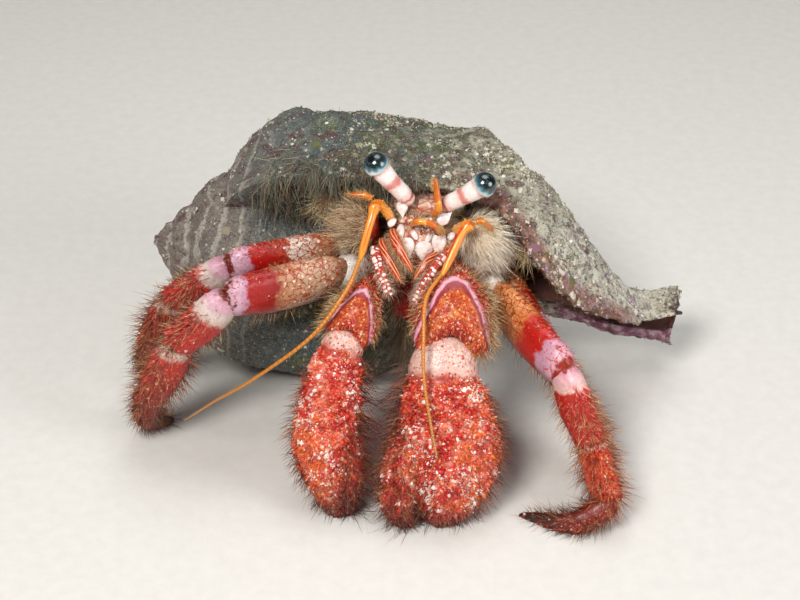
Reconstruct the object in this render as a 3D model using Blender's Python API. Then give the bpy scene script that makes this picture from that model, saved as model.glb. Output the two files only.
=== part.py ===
"""A stareye hermit crab in a large sea-snail shell, life size, as a still model.

Axes: +Z up, the crab faces -Y and its left side is at +X. The floor is at z = 0.
Lengths in the tables are millimetres from a point under the crab's mouth. As a mesh is made,
MODEL_CENTRE moves them so that the origin is under the middle of the model, and SCALE turns
them into metres.
"""

import math

import bmesh
import bpy
from mathutils import Matrix, Vector

SCALE = 0.001
MODEL_CENTRE = (2.13, -7.13)
GAP = 0.42  # left between neighbouring solids
FLOOR = 0.0

# ---------------------------------------------------------------- the snail shell
APEX = Vector((-62.0, 13.0, 33.0))
CANAL_TIP = Vector((69.0, 4.0, 15.0))
SHELL_LENGTH = (CANAL_TIP - APEX).length
WHORL_GROWTH = 1.9  # how much the shell grows in one full turn
WHORLS_SHOWN = 5
WHORL_START = 14.0  # where the newest whorl leaves the spire, from the apex along the axis
# Radius of the newest whorl against the distance from the apex along the axis.
WHORL_PROFILE = (
    (WHORL_START, 0.0), (16.0, 13.0), (19.0, 24.0), (24.0, 33.0), (32.0, 39.5), (44.0, 42.5),
    (58.0, 43.0), (72.0, 43.0), (84.0, 42.0), (92.0, 39.0), (100.0, 33.0), (108.0, 24.5),
    (115.0, 15.5), (121.0, 9.5), (127.0, 7.0), (SHELL_LENGTH, 6.6),
)
# How far the outer lip leans forward of the vertical, in degrees, along the axis.
LIP_LEAN = (
    (0.0, 27.0), (40.0, 27.0), (56.0, 25.0), (80.0, 27.0), (88.0, 37.0), (96.0, 49.0),
    (105.0, 57.0), (113.0, 60.0), (122.0, 62.0), (SHELL_LENGTH, 58.0),
)
LIP_LEAN_AT_BODY = 25.0
CANAL_FROM, CANAL_FULL = 86.0, 118.0  # where the body narrows into the canal
CANAL_BLUNT_END = 1.4
CANAL_RADIUS = 6.3
SHELL_WALL = 2.2
COLUMELLA = 4.0
CAVITY_SPAN = (30.0, 108.0)
CAVITY_FROM, CAVITY_TO = -80.0, 165.0  # degrees back from the aperture
# The open gutter of the canal: rows of distance along the axis and from it, below the lip.
CANAL_GUTTER = ((88.0, 9.0), (104.0, 7.0), (118.0, 5.4), (SHELL_LENGTH + 2.0, 5.0))
CANAL_LEAN = 72.0
GUTTER_SIZES = ((0.0, 3.0, 2.6), (0.5, 4.4, 2.4), (1.0, 4.6, 2.2))
CAVITY_FULLNESS = ((0.0, 1.0), (1.0, 1.0))
CAVITY_SIDES, CAVITY_RINGS = 16, 11
SHELL_STATIONS, SHELL_TURNS = 26, 25
# Lumps of old growth over the top and back of the shell: height, then waves per millimetre
# along the axis, per degree round it and their start, and the stretch that they fade out at.
SHELL_LUMPS = (
    (0.75, 0.270, 6.5 * math.pi / 180, 0.4), (0.55, -0.385, 5.0 * math.pi / 180, 2.1),
    (0.45, 0.140, 7.5 * math.pi / 180, 4.0),
)
LUMPS_ALONG, LUMPS_ROUND = (22.0, 34.0, 88.0, 100.0), (3.0, 18.0, 135.0, 165.0)
ABDOMEN_FROM, ABDOMEN_TO = 30.0, 150.0
ABDOMEN_SPAN = (46.0, 90.0)
ABDOMEN_FULLNESS = ((0.0, 0.42), (0.3, 0.9), (0.6, 0.8), (1.0, 0.3))
ABDOMEN_CLEARANCE = 2.5

# ---------------------------------------------------------------- colours
COLOURS = {
    "shell": ((0.30, 0.28, 0.23), 0.85),
    "cuticle_tan": ((0.72, 0.47, 0.30), 0.35),
    "cuticle_red": ((0.62, 0.05, 0.03), 0.35),
    "cuticle_orange": ((0.80, 0.25, 0.05), 0.35),
    "cuticle_white": ((0.85, 0.75, 0.70), 0.30),
    "hairy_cream": ((0.76, 0.63, 0.43), 0.70),
    "feeler_orange": ((0.85, 0.36, 0.03), 0.35),
    "cornea": ((0.03, 0.08, 0.11), 0.08),
}


# ---------------------------------------------------------------- small helpers
def slope_at(table, i):
    """Slope of a smooth curve through a table of (x, value) rows, at row i."""
    x0, y0 = table[max(i - 1, 0)]
    x1, y1 = table[min(i + 1, len(table) - 1)]
    return (y1 - y0) / (x1 - x0)


def value_at(table, x):
    """Smooth value of a table of (x, value) rows, held at its ends."""
    if x <= table[0][0]:
        return table[0][1]
    for i, ((x0, y0), (x1, y1)) in enumerate(zip(table, table[1:])):
        if x <= x1:
            span = x1 - x0
            t = (x - x0) / span
            rise0, rise1 = slope_at(table, i) * span, slope_at(table, i + 1) * span
            bend = (y1 - y0) * 3 - rise0 * 2 - rise1
            twist = (y0 - y1) * 2 + rise0 + rise1
            return y0 + t * (rise0 + t * (bend + t * twist))
    return table[-1][1]


def new_collection(name):
    collection = bpy.data.collections.new(name)
    bpy.context.scene.collection.children.link(collection)
    return collection


def make_material(name):
    colour, roughness = COLOURS[name]
    material = bpy.data.materials.new(name)
    material.use_nodes = True
    shader = material.node_tree.nodes["Principled BSDF"]
    shader.inputs["Base Color"].default_value = (*colour, 1.0)
    shader.inputs["Roughness"].default_value = roughness
    shader.inputs["Metallic"].default_value = 0.0
    return material


def object_from_rings(name, rings, material, collection, first_cap=None, last_cap=None, floor=FLOOR):
    """A closed solid through rings of points, all with the same count.
    A cap is a point that its end ring closes on, or None for a flat face."""
    mesh = bpy.data.meshes.new(name)
    bm = bmesh.new()
    rows = [[bm.verts.new(settled(p, floor)) for p in ring] for ring in rings]
    count = len(rows[0])
    for near, far in zip(rows, rows[1:]):
        for i in range(count):
            j = (i + 1) % count
            bm.faces.new((near[i], near[j], far[j], far[i]))
    for row, cap, flip in ((rows[0], first_cap, True), (rows[-1], last_cap, False)):
        if cap is None:
            bm.faces.new(row[::-1] if flip else row)
            continue
        tip = bm.verts.new(settled(cap, floor))
        for i in range(count):
            j = (i + 1) % count
            corners = (row[j], row[i], tip) if flip else (row[i], row[j], tip)
            bm.faces.new(corners)
    bmesh.ops.recalc_face_normals(bm, faces=bm.faces)
    if bm.calc_volume(signed=True) < 0:
        bmesh.ops.reverse_faces(bm, faces=bm.faces)
    bm.to_mesh(mesh)
    bm.free()
    mesh.materials.append(material)
    mesh.shade_smooth()
    obj = bpy.data.objects.new(name, mesh)
    collection.objects.link(obj)
    return obj


def settled(point, floor):
    """The point in metres, no lower than the floor, which leaves a flat where a foot rests."""
    x, y, z = point
    return Vector((x - MODEL_CENTRE[0], y - MODEL_CENTRE[1], max(z, floor))) * SCALE


# ---------------------------------------------------------------- tapering tubes
def spine_point(knots, t):
    """Point at t, 0 to 1, of a Catmull-Rom curve through the knots."""
    spans = len(knots) - 1
    place = min(max(t, 0.0), 1.0) * spans
    i = min(int(place), spans - 1)
    u = place - i
    p1, p2 = knots[i], knots[i + 1]
    p0 = knots[i - 1] if i else p1 * 2 - p2
    p3 = knots[i + 2] if i + 2 <= spans else p2 * 2 - p1
    return 0.5 * (
        p1 * 2 + (p2 - p0) * u + (p0 * 2 - p1 * 5 + p2 * 4 - p3) * u * u
        + (p1 * 3 - p0 - p2 * 3 + p3) * u * u * u
    )


def tube(name, knots, sizes, across, material, collection, sides=12, rings=8, bluntness=4.0):
    """A closed tube along the knots. sizes is rows of (t, half width, half depth);
    the width lies along across, and both ends close in a round nose."""
    knots = [Vector(k) for k in knots]
    widths = [(t, w) for t, w, _ in sizes]
    depths = [(t, d) for t, _, d in sizes]
    across = Vector(across)
    loops = []
    for n in range(1, rings + 1):
        t = 0.5 - 0.5 * math.cos(math.pi * n / (rings + 1))
        centre = spine_point(knots, t)
        along = (spine_point(knots, t + 0.02) - spine_point(knots, t - 0.02)).normalized()
        side = (across - along * across.dot(along)).normalized()
        deep = along.cross(side)
        round_off = (1 - abs(2 * t - 1) ** bluntness) ** (1 / bluntness)
        w, d = value_at(widths, t) * round_off, value_at(depths, t) * round_off
        loops.append([
            centre + side * (w * math.cos(2 * math.pi * i / sides))
            + deep * (d * math.sin(2 * math.pi * i / sides))
            for i in range(sides)
        ])
    return object_from_rings(name, loops, material, collection, knots[0], knots[-1])


def grown_copy(obj, gap, cutters):
    """A hidden copy of obj, swollen by the gap, to cut its neighbours with."""
    mesh = obj.data.copy()
    normals = [v.normal.copy() for v in mesh.vertices]
    for vertex, normal in zip(mesh.vertices, normals):
        vertex.co += normal * (gap * SCALE)
    copy = bpy.data.objects.new("cut_" + obj.name, mesh)
    copy.hide_render = True
    copy.display_type = "WIRE"
    cutters.objects.link(copy)
    return copy


def carve(body, neighbours, cutters, gap=GAP):
    """Cuts a socket in body for each neighbour, with a thin gap all round it."""
    for other in neighbours:
        cut = body.modifiers.new("socket_" + other.name, "BOOLEAN")
        cut.operation = "DIFFERENCE"
        cut.solver = "EXACT"
        cut.object = grown_copy(other, gap, cutters)


# ---------------------------------------------------------------- the snail shell
AXIS = (CANAL_TIP - APEX).normalized()
UPWARD = (Vector((0, 0, 1)) - AXIS * AXIS.z).normalized()
FORWARD = UPWARD.cross(AXIS)  # square to the axis, towards the viewer at -Y
if FORWARD.y > 0:
    FORWARD = -FORWARD


def whorl_radius(along, back):
    """Outer radius at a distance along the axis and an angle back from the aperture, in
    degrees. The shell repeats itself, smaller about the apex, with each turn back."""
    widest = CANAL_RADIUS * canal_share(along)
    for turn in range(WHORLS_SHOWN):
        size = WHORL_GROWTH ** (-(back / 360.0 + turn))
        if along / size > WHORL_START:
            widest = max(widest, size * value_at(WHORL_PROFILE, along / size))
    return max(widest, 1.2)


def fade(edges, x):
    """0 outside the four edges, 1 between the middle two."""
    rise = min(1.0, max(0.0, (x - edges[0]) / (edges[1] - edges[0])))
    fall = min(1.0, max(0.0, (edges[3] - x) / (edges[3] - edges[2])))
    return rise * fall


def lumps(along, past_lip):
    """Height of the lumps at a distance along the axis and an angle behind the lip."""
    height = sum(h * math.sin(a * along + b * past_lip + start) for h, a, b, start in SHELL_LUMPS)
    return height * fade(LUMPS_ALONG, along) * fade(LUMPS_ROUND, past_lip)


def canal_share(along):
    """0 over the body of the shell, 1 along its canal."""
    return min(1.0, max(0.0, (along - CANAL_FROM) / (CANAL_FULL - CANAL_FROM)))


def shell_point(along, radius, back):
    """A point at that distance along the axis, radius and angle back from the aperture."""
    lean = math.radians(LIP_LEAN_AT_BODY - back)
    outward = UPWARD * math.cos(lean) + FORWARD * math.sin(lean)
    return APEX + AXIS * along + outward * radius


def build_shell(material, collection, cutters):
    alongs = [SHELL_LENGTH * n / SHELL_STATIONS for n in range(1, SHELL_STATIONS)]
    rings = []
    for along in (*alongs, SHELL_LENGTH - CANAL_BLUNT_END):
        start = LIP_LEAN_AT_BODY - value_at(LIP_LEAN, along)
        ring = []
        for i in range(SHELL_TURNS + 1):
            past_lip = 360.0 * i / SHELL_TURNS
            back = start + past_lip
            radius = whorl_radius(along, back) + lumps(along, past_lip)
            ring.append(shell_point(along, radius, back))
        rings.append(ring)
    shell = object_from_rings("shell", rings, material, collection, APEX + AXIS * 1.0, CANAL_TIP)
    reach = (CAVITY_FROM, CAVITY_TO)
    cavity = horn(
        "cut_cavity", reach, CAVITY_SPAN, 0.0, CAVITY_FULLNESS, CAVITY_SIDES, CAVITY_RINGS,
        material, cutters,
    )
    outward = shell_point(0.0, 1.0, LIP_LEAN_AT_BODY - CANAL_LEAN) - APEX
    knots = [APEX + AXIS * along + outward * out for along, out in CANAL_GUTTER]
    gutter = tube("cut_canal", knots, GUTTER_SIZES, outward, material, cutters, 10, 8)
    for cutter in (cavity, gutter):
        cutter.hide_render = True
        cutter.display_type = "WIRE"
        hollow = shell.modifiers.new("hollow_" + cutter.name, "BOOLEAN")
        hollow.operation = "DIFFERENCE"
        hollow.solver = "EXACT"
        hollow.object = cutter
    return shell


def horn(name, backs, span, clearance, fullness, sides, rings, material, collection):
    """A horn that fills the newest whorl between two angles back from the aperture, kept off
    its walls by the shell's thickness and the clearance."""
    loops = []
    for n in range(rings + 1):
        share = n / rings
        back = backs[0] + (backs[1] - backs[0]) * share
        size = WHORL_GROWTH ** (-back / 360.0)
        low, high = span[0] * size, min(span[1] * size, span[1])
        narrow = value_at(fullness, share)
        middle, half = (low + high) / 2, (high - low) / 2 * narrow
        loop = []
        for i in range(sides):
            turn = 2 * math.pi * i / sides
            along = middle + half * math.cos(turn)
            outer = whorl_radius(along, back) - SHELL_WALL - clearance
            past_turn = whorl_radius(along, back + 360.0) + SHELL_WALL + clearance
            inner = min(max(past_turn, COLUMELLA * size), outer - 0.8)
            lift = math.sin(turn)
            lift = math.copysign(abs(lift) ** 0.8, lift)
            radius = (outer + inner) / 2 + (outer - inner) / 2 * lift * narrow
            loop.append(shell_point(along, radius, back))
        loops.append(loop)
    floor = FLOOR + SHELL_WALL + clearance
    return object_from_rings(name, loops, material, collection, floor=floor)


# ---------------------------------------------------------------- legs and claws
# Joint places from the hip outwards: hip, start of the merus, knee, wrist, ankle, middle of
# the dactyl, tip.
LEGS = {
    "leg2_right": (
        (-6.6, -10, 39.5), (-13.8, -17.8, 44.4), (-39.4, -31, 45.8), (-51.6, -30, 32.1),
        (-59.7, -28, 13.9), (-60.5, -23.5, 5), (-56, -17.5, -0.5),
    ),
    "leg3_right": (
        (-5, -4, 45.6), (-14.4, -10.6, 47), (-40, -18.5, 46.5), (-54.3, -14.3, 33.3),
        (-61, -9.5, 16.5), (-62.5, -6.5, 7), (-59.5, -3.5, -0.5),
    ),
    "leg2_left": (
        (16.5, -7, 37), (23.2, -16.5, 37.2), (37.5, -40.5, 32.2), (43.9, -46.5, 15.6),
        (47.6, -56.5, 7.3), (39.5, -57.6, 2.2), (27.5, -52.5, -0.3),
    ),
    "leg3_left": (
        (14.5, 4.5, 41), (21, -0.8, 39.6), (35, -22, 26), (41, -31, 18),
        (46.5, -38.5, 9), (48, -44, 3.2), (46, -50, -0.5),
    ),
}
LEG_PARTS = ("ischium", "merus", "carpus", "propodus", "dactyl")
# Half height in the plane of the leg and half thickness, at the start, middle and end.
LEG_SIZES = {
    "ischium": ((4.4, 3.6), (4.8, 3.9), (4.4, 3.5)),
    "merus": ((5.4, 3.6), (6.5, 4.3), (5.2, 3.9)),
    "carpus": ((4.3, 3.5), (4.9, 4.0), (4.4, 3.6)),
    "propodus": ((4.2, 3.3), (4.7, 3.6), (4.1, 3.2)),
    "dactyl": ((3.4, 2.8), (2.7, 2.3), (1.2, 1.2)),
}
LEG_LAP = 1.6  # how far a leg segment reaches into the one before it
LEG_SHARE = {"leg2_right": 1.0, "leg3_right": 0.86, "leg2_left": 0.94, "leg3_left": 0.82}

CLAWS = {
    "claw_left": {
        "ischium": ((9.4, -6, 37), (10.2, -12, 38)),
        "merus": ((10.2, -10.8, 37.6), (11.4, -17.5, 41), (11.7, -24, 43)),
        "carpus": ((11.9, -22.8, 45.2), (12.3, -30.3, 43.2), (11.6, -36.6, 36.8)),
        "palm": ((11, -34.8, 38.3), (9.7, -41, 29.3), (11, -48.5, 18), (10.8, -53, 8.3), (8.6, -54.8, -0.5)),
        "dactyl": ((3.2, -46.6, 21.0), (0.6, -52, 12), (0, -54.4, 5), (2.2, -55.6, -0.5)),
    },
    "claw_right": {
        "ischium": ((2.6, -6.5, 37.5), (0.6, -12.2, 38)),
        "merus": ((0.4, -10.5, 37), (-3.2, -17.5, 40.3), (-6.2, -23.2, 42.2)),
        "carpus": ((-6.4, -22.2, 43.8), (-8.9, -28, 40.8), (-12, -32.8, 36.2)),
        "palm": ((-11.8, -31.6, 37.2), (-13.7, -36, 32.9), (-16.9, -45.5, 19.9), (-16.7, -50, 11), (-14.4, -52, -0.5)),
        "dactyl": ((-12.6, -44.5, 21.5), (-11, -49.3, 12), (-12, -52, -0.5)),
    },
}
# (t, half width, half depth) along each part of a claw.
CLAW_SIZES = {
    "ischium": ((0, 4.6, 4.2), (1, 4.8, 4.2)),
    "merus": ((0, 4.6, 4.6), (0.6, 5.8, 5.6), (1, 5.6, 5.2)),
    "carpus": ((0, 4.6, 4.6), (0.5, 7.8, 6.4), (1, 8.8, 6.0)),
    "palm": ((0, 7.4, 5.6), (0.25, 8.8, 6.8), (0.55, 11.2, 7.6), (0.8, 7.8, 6.4), (1, 4.6, 3.6)),
    "dactyl": ((0, 4.8, 4.6), (0.4, 4.6, 4.4), (1, 2.6, 2.2)),
}
CLAW_SHARE = {"claw_left": 1.0, "claw_right": 0.62}
CLAW_FACES = {"claw_left": (1.0, 0.05, 0.0), "claw_right": (1.0, 0.0, 0.05)}


def leg_plane(joints):
    """The direction square to the plane that a leg bends in."""
    hip, knee, tip = Vector(joints[1]), Vector(joints[2]), Vector(joints[4])
    return (knee - hip).cross(tip - knee).normalized()


def build_leg(name, materials, collection, cutters):
    joints = [Vector(j) for j in LEGS[name]]
    share = LEG_SHARE[name]
    thick_way = leg_plane(joints)
    parts = []
    for n, part in enumerate(LEG_PARTS):
        start, end = joints[n], joints[n + 1]
        along = (end - start).normalized()
        bow = thick_way.cross(along) * (0.05 * (end - start).length)
        if n:
            start = start - along * LEG_LAP
        knots = (start, (start + end) / 2 + bow, end + along * (LEG_LAP / 2))
        if part == "dactyl":
            knots = (start, joints[5], joints[6])
        (h0, w0), (h1, w1), (h2, w2) = LEG_SIZES[part]
        sizes = ((0, w0 * share, h0 * share), (0.45, w1 * share, h1 * share), (1, w2 * share, h2 * share))
        skin = materials["cuticle_red" if part in ("propodus", "dactyl") else "cuticle_tan"]
        parts.append(tube(f"{name}_{part}", knots, sizes, thick_way, skin, collection, 8, 6))
    for near, far in zip(parts, parts[1:]):
        carve(near, [far], cutters)
    return parts


def build_claw(name, materials, collection, cutters):
    share = CLAW_SHARE[name]
    parts = {}
    for part, knots in CLAWS[name].items():
        sizes = [(t, w * share, d * (share if part != "carpus" else share ** 0.6)) for t, w, d in CLAW_SIZES[part]]
        skin = materials["cuticle_red" if part in ("palm", "dactyl") else "cuticle_orange"]
        sides, rings = (12, 9) if part == "palm" else (10, 6)
        parts[part] = tube(f"{name}_{part}", knots, sizes, CLAW_FACES[name], skin, collection, sides, rings)
    for near, far in (("ischium", "merus"), ("merus", "carpus"), ("carpus", "palm"), ("dactyl", "palm")):
        carve(parts[near], [parts[far]], cutters)
    return list(parts.values())


# ---------------------------------------------------------------- trunk and face
# name: knots, sizes, sides, rings, colour
TRUNK = {
    "thorax": (
        ((6, -12, 45.5), (8, -3, 45.5), (8.5, 11, 43)),
        ((0, 7.5, 7.5), (0.5, 9.5, 8.2), (1, 9, 8)), 12, 7, "cuticle_tan",
    ),
    "carapace": (
        ((5.5, -13, 57.9), (6, -4, 55), (5.5, 8, 50.5)),
        ((0, 6.8, 2.2), (0.4, 8.4, 2.8), (1, 7.5, 2.4)), 12, 6, "cuticle_tan",
    ),
    "face": (
        ((5.5, -13.4, 55.9), (5.3, -17.3, 50), (5, -19.4, 45)),
        ((0, 6.2, 2.6), (0.5, 6.8, 2.9), (1, 4.8, 2.4)), 12, 6, "cuticle_white",
    ),
    "flank_left": (
        ((17.6, -17.4, 47.4), (19.5, -10.5, 48.8), (18, 1, 46)),
        ((0, 5.6, 6.2), (0.4, 6.7, 7.6), (1, 4.5, 5.2)), 10, 6, "hairy_cream",
    ),
    "flank_right": (
        ((-7.5, -16, 51.6), (-9.6, -9.5, 52.6), (-7, 2, 49)),
        ((0, 5.0, 5.0), (0.4, 6.2, 6.4), (1, 4, 4.2)), 10, 6, "hairy_cream",
    ),
}
FACE = {
    "eyestalk_right": (
        ((2.6, -13.8, 60.6), (-1.6, -15, 66.2), (-5.2, -15.5, 71.2)),
        ((0, 2.1, 2.1), (0.45, 2.0, 2.0), (1, 2.7, 2.7)), 8, 6, "cuticle_white",
    ),
    "eyestalk_left": (
        ((9.4, -14, 59.3), (14.4, -15.6, 63.2), (18.8, -16.4, 66.6)),
        ((0, 2.1, 2.1), (0.45, 2.0, 2.0), (1, 2.7, 2.7)), 8, 6, "cuticle_white",
    ),
    "antennule_right": (
        ((2.5, -16.5, 56), (4.2, -19.2, 58.6), (7.3, -19.8, 58.2), (9.6, -19.9, 55.6)),
        ((0, 0.9, 0.9), (1, 0.8, 0.8)), 6, 7, "feeler_orange",
    ),
    "antennule_left": (
        ((7.2, -16.5, 58.4), (8.7, -18.5, 61.4), (8.4, -17.5, 64.5), (8, -16.2, 68.2)),
        ((0, 0.9, 0.9), (1, 0.8, 0.8)), 6, 7, "feeler_orange",
    ),
    "antenna_base_right": (
        ((-1.5, -14.5, 56), (-5, -16, 61.3), (-6.6, -19.2, 59), (-9, -23.4, 51.6)),
        ((0, 1.6, 1.6), (0.45, 1.25, 1.25), (1, 0.9, 0.9)), 7, 7, "feeler_orange",
    ),
    "antenna_base_left": (
        ((12.4, -15.6, 53.8), (15.6, -19.2, 57.8), (13.9, -21.9, 56.9), (9.7, -27.9, 50.2)),
        ((0, 1.6, 1.6), (0.45, 1.25, 1.25), (1, 0.9, 0.9)), 7, 7, "feeler_orange",
    ),
    "acicle_right": (
        ((-6.4, -15.6, 62.6), (-8.3, -15.4, 63.4), (-10.8, -15, 63.2)),
        ((0, 0.9, 0.9), (1, 0.5, 0.5)), 6, 4, "feeler_orange",
    ),
    "acicle_left": (
        ((17.2, -19.2, 58.5), (18.8, -19, 58.6), (20.6, -19.2, 56.6)),
        ((0, 0.9, 0.9), (1, 0.5, 0.5)), 6, 4, "feeler_orange",
    ),
    "maxilliped_right": (
        ((-3.4, -16.5, 52.5), (-2.0, -21.8, 51), (1.4, -25.4, 46.4)),
        ((0, 1.5, 1.5), (0.5, 1.4, 1.4), (1, 0.9, 0.9)), 7, 6, "cuticle_orange",
    ),
    "maxilliped_left": (
        ((11.2, -17.5, 50), (8.2, -22.6, 49.6), (4.8, -25.4, 46.2)),
        ((0, 1.5, 1.5), (0.5, 1.4, 1.4), (1, 0.9, 0.9)), 7, 6, "cuticle_orange",
    ),
    "palp_right": (
        ((-6.0, -19.5, 52.2), (-4.9, -24.2, 50), (-2.4, -28.6, 44.8)),
        ((0, 1.2, 1.2), (1, 1.0, 1.0)), 7, 6, "cuticle_orange",
    ),
    "palp_left": (
        ((10.6, -22.4, 52.4), (6.6, -27.2, 49), (3.2, -30.4, 43.8)),
        ((0, 1.2, 1.2), (1, 1.0, 1.0)), 7, 6, "cuticle_orange",
    ),
}
CORNEAS = {
    "cornea_right": ((-5.3, -15.5, 71.4), (-3.8, -0.6, 5.4), 2.8),
    "cornea_left": ((19.0, -16.4, 66.7), (4.8, -0.9, 3.7), 2.8),
}
FLAGELLA = {
    "antenna_right": (
        (-9.3, -24.3, 50.9), (-12.2, -31, 47.6), (-20.3, -36, 38.3), (-33.4, -37, 27.4),
        (-43, -34.5, 19), (-51, -31, 10.4),
    ),
    "antenna_left": (
        (9.1, -28.6, 49.1), (5.8, -35.4, 48.6), (5.2, -42.4, 42.4), (5.3, -48.7, 36.1),
        (6.6, -54.3, 29.2), (8.2, -59.6, 22.3),
    ),
}
FLAGELLUM_SIZES = ((0, 0.6, 0.6), (1, 0.32, 0.32))
SMALL_LEGS = {
    "leg4_left": (((18.5, 6, 47.5), (25.5, 0.5, 49.5), (28.8, -8, 48.5), (30.2, -14, 45.5)), 2.4),
    "leg4_right": (((-7, 4, 49), (-11, 0, 54), (-15, -3, 55.5), (-19, -5, 54)), 2.3),
    "leg5_left": (((11, 12, 50), (15, 9, 53), (19, 4, 54.5)), 1.5),
    "leg5_right": (((-1, 12, 48), (-4, 9, 53), (-7, 5, 56)), 1.5),
}
FEELER_WIDTH_WAY = (0.2, 0.9, 0.4)
# Which solids are let into which: the first of each row is cut round the others.
SOCKETS = (
    ("face", ("claw_left_merus", "maxilliped_left")),
    ("flank_left", ("leg3_left_ischium",)),
    ("flank_right", ("leg3_right_ischium", "leg4_right", "leg3_right_merus")),
    ("thorax", (
        "carapace", "flank_left", "claw_left_ischium", "claw_right_ischium", "claw_left_merus",
        "leg3_left_ischium",
    )),
    ("abdomen", ("thorax", "leg5_left", "leg5_right")),
    ("eyestalk_right", ("cornea_right",)),
    ("eyestalk_left", ("cornea_left",)),
)


def build_cornea(name, materials, collection):
    """A rounded cap that faces away from its eyestalk."""
    centre, outward, radius = CORNEAS[name]
    mesh = bpy.data.meshes.new(name)
    bm = bmesh.new()
    turn = Vector(outward).to_track_quat("Z", "Y").to_matrix().to_4x4()
    place = Matrix.Translation(settled(centre, FLOOR)) @ turn
    bmesh.ops.create_uvsphere(bm, u_segments=10, v_segments=7, radius=radius * SCALE, matrix=place)
    bm.to_mesh(mesh)
    bm.free()
    mesh.materials.append(materials["cornea"])
    mesh.shade_smooth()
    cornea = bpy.data.objects.new(name, mesh)
    collection.objects.link(cornea)
    return cornea


def main():
    for obj in list(bpy.data.objects):
        bpy.data.objects.remove(obj)
    crab = new_collection("hermit_crab")
    cutters = new_collection("cutters")
    skins = {name: make_material(name) for name in COLOURS}
    build_shell(skins["shell"], crab, cutters)
    for name in LEGS:
        build_leg(name, skins, crab, cutters)
    for name in CLAWS:
        build_claw(name, skins, crab, cutters)
    for name, (knots, sizes, sides, rings, skin) in TRUNK.items():
        tube(name, knots, sizes, (1, 0, 0), skins[skin], crab, sides, rings)
    for name, (knots, sizes, sides, rings, skin) in FACE.items():
        tube(name, knots, sizes, FEELER_WIDTH_WAY, skins[skin], crab, sides, rings)
    for name in CORNEAS:
        build_cornea(name, skins, crab)
    for name, knots in FLAGELLA.items():
        tube(name, knots, FLAGELLUM_SIZES, FEELER_WIDTH_WAY, skins["feeler_orange"], crab, 5, 12)
    for name, (knots, half) in SMALL_LEGS.items():
        sizes = ((0, half, half), (1, half * 0.6, half * 0.6))
        tube(name, knots, sizes, (0, 1, 0), skins["cuticle_tan"], crab, 7, 5)
    reach = (ABDOMEN_FROM, ABDOMEN_TO)
    horn(
        "abdomen", reach, ABDOMEN_SPAN, ABDOMEN_CLEARANCE, ABDOMEN_FULLNESS, 12, 7,
        skins["cuticle_tan"], crab,
    )
    for name, neighbours in SOCKETS:
        carve(bpy.data.objects[name], [bpy.data.objects[other] for other in neighbours], cutters)


main()
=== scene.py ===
"""Looks of the stareye hermit crab and its sea-snail shell: skins, grains, hairs and studio.

Shapes repeat the solids' tables, in millimetres from the same point, and metres() moves them
into the frame. Each skin is a fine version of its solid, and grains, spines and hairs grow on
it. Three vectors ride on every vertex for the materials: spot is the place on the skin (share
of the length, cosine and sine of the angle round it), root is the place in millimetres that
the colour is read at, and form is (0 at the root to 1 at the tip, random pick, kind).
"""
import math

import bmesh
import bpy
import numpy as np
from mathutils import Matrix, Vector


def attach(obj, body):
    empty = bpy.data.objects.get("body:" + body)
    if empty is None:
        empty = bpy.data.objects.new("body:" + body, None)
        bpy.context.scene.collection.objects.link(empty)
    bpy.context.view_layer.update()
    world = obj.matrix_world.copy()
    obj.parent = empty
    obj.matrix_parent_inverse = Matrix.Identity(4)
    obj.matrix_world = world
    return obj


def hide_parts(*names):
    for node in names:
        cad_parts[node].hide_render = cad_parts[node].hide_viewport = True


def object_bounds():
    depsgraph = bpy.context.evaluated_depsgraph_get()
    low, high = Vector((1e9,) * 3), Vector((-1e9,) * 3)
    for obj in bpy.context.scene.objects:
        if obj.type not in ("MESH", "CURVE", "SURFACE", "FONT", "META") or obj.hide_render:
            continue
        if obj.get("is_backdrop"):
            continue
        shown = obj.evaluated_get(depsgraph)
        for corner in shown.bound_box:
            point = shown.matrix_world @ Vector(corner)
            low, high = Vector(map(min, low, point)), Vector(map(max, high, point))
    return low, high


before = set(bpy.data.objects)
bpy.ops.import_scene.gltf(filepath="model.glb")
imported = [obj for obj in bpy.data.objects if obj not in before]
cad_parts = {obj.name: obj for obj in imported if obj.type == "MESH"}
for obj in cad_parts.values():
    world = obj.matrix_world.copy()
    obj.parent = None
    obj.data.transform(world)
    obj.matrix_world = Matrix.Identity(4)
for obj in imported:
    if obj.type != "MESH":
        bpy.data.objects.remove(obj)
cad_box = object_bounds()

CENTRE = np.array((2.13, -7.13, 0.0))  # moves the tables' millimetres into the frame
MM = 0.001
FLOOR_CLEAR = 0.05
SKIN, GRAIN, FLECK, HAIR = 0.0, 0.5, 0.7, 1.0  # the kinds that the materials tell apart
PATCH = 0.0015  # half the size of the place in the map that each hair or grain is baked at
MAP_EDGE = 0.02  # left free round the map of each skin
SHARE = 1.0
FEWEST = 8
rng = np.random.default_rng(41)


# ------------------------------------------------------------------ numbers
def metres(points):
    points = np.array(points, float)
    points[..., 2] = np.maximum(points[..., 2], FLOOR_CLEAR)
    return (points - CENTRE) * MM


def unit(vectors):
    vectors = np.asarray(vectors, float)
    return vectors / np.maximum(np.linalg.norm(vectors, axis=-1, keepdims=True), 1e-9)


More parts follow.
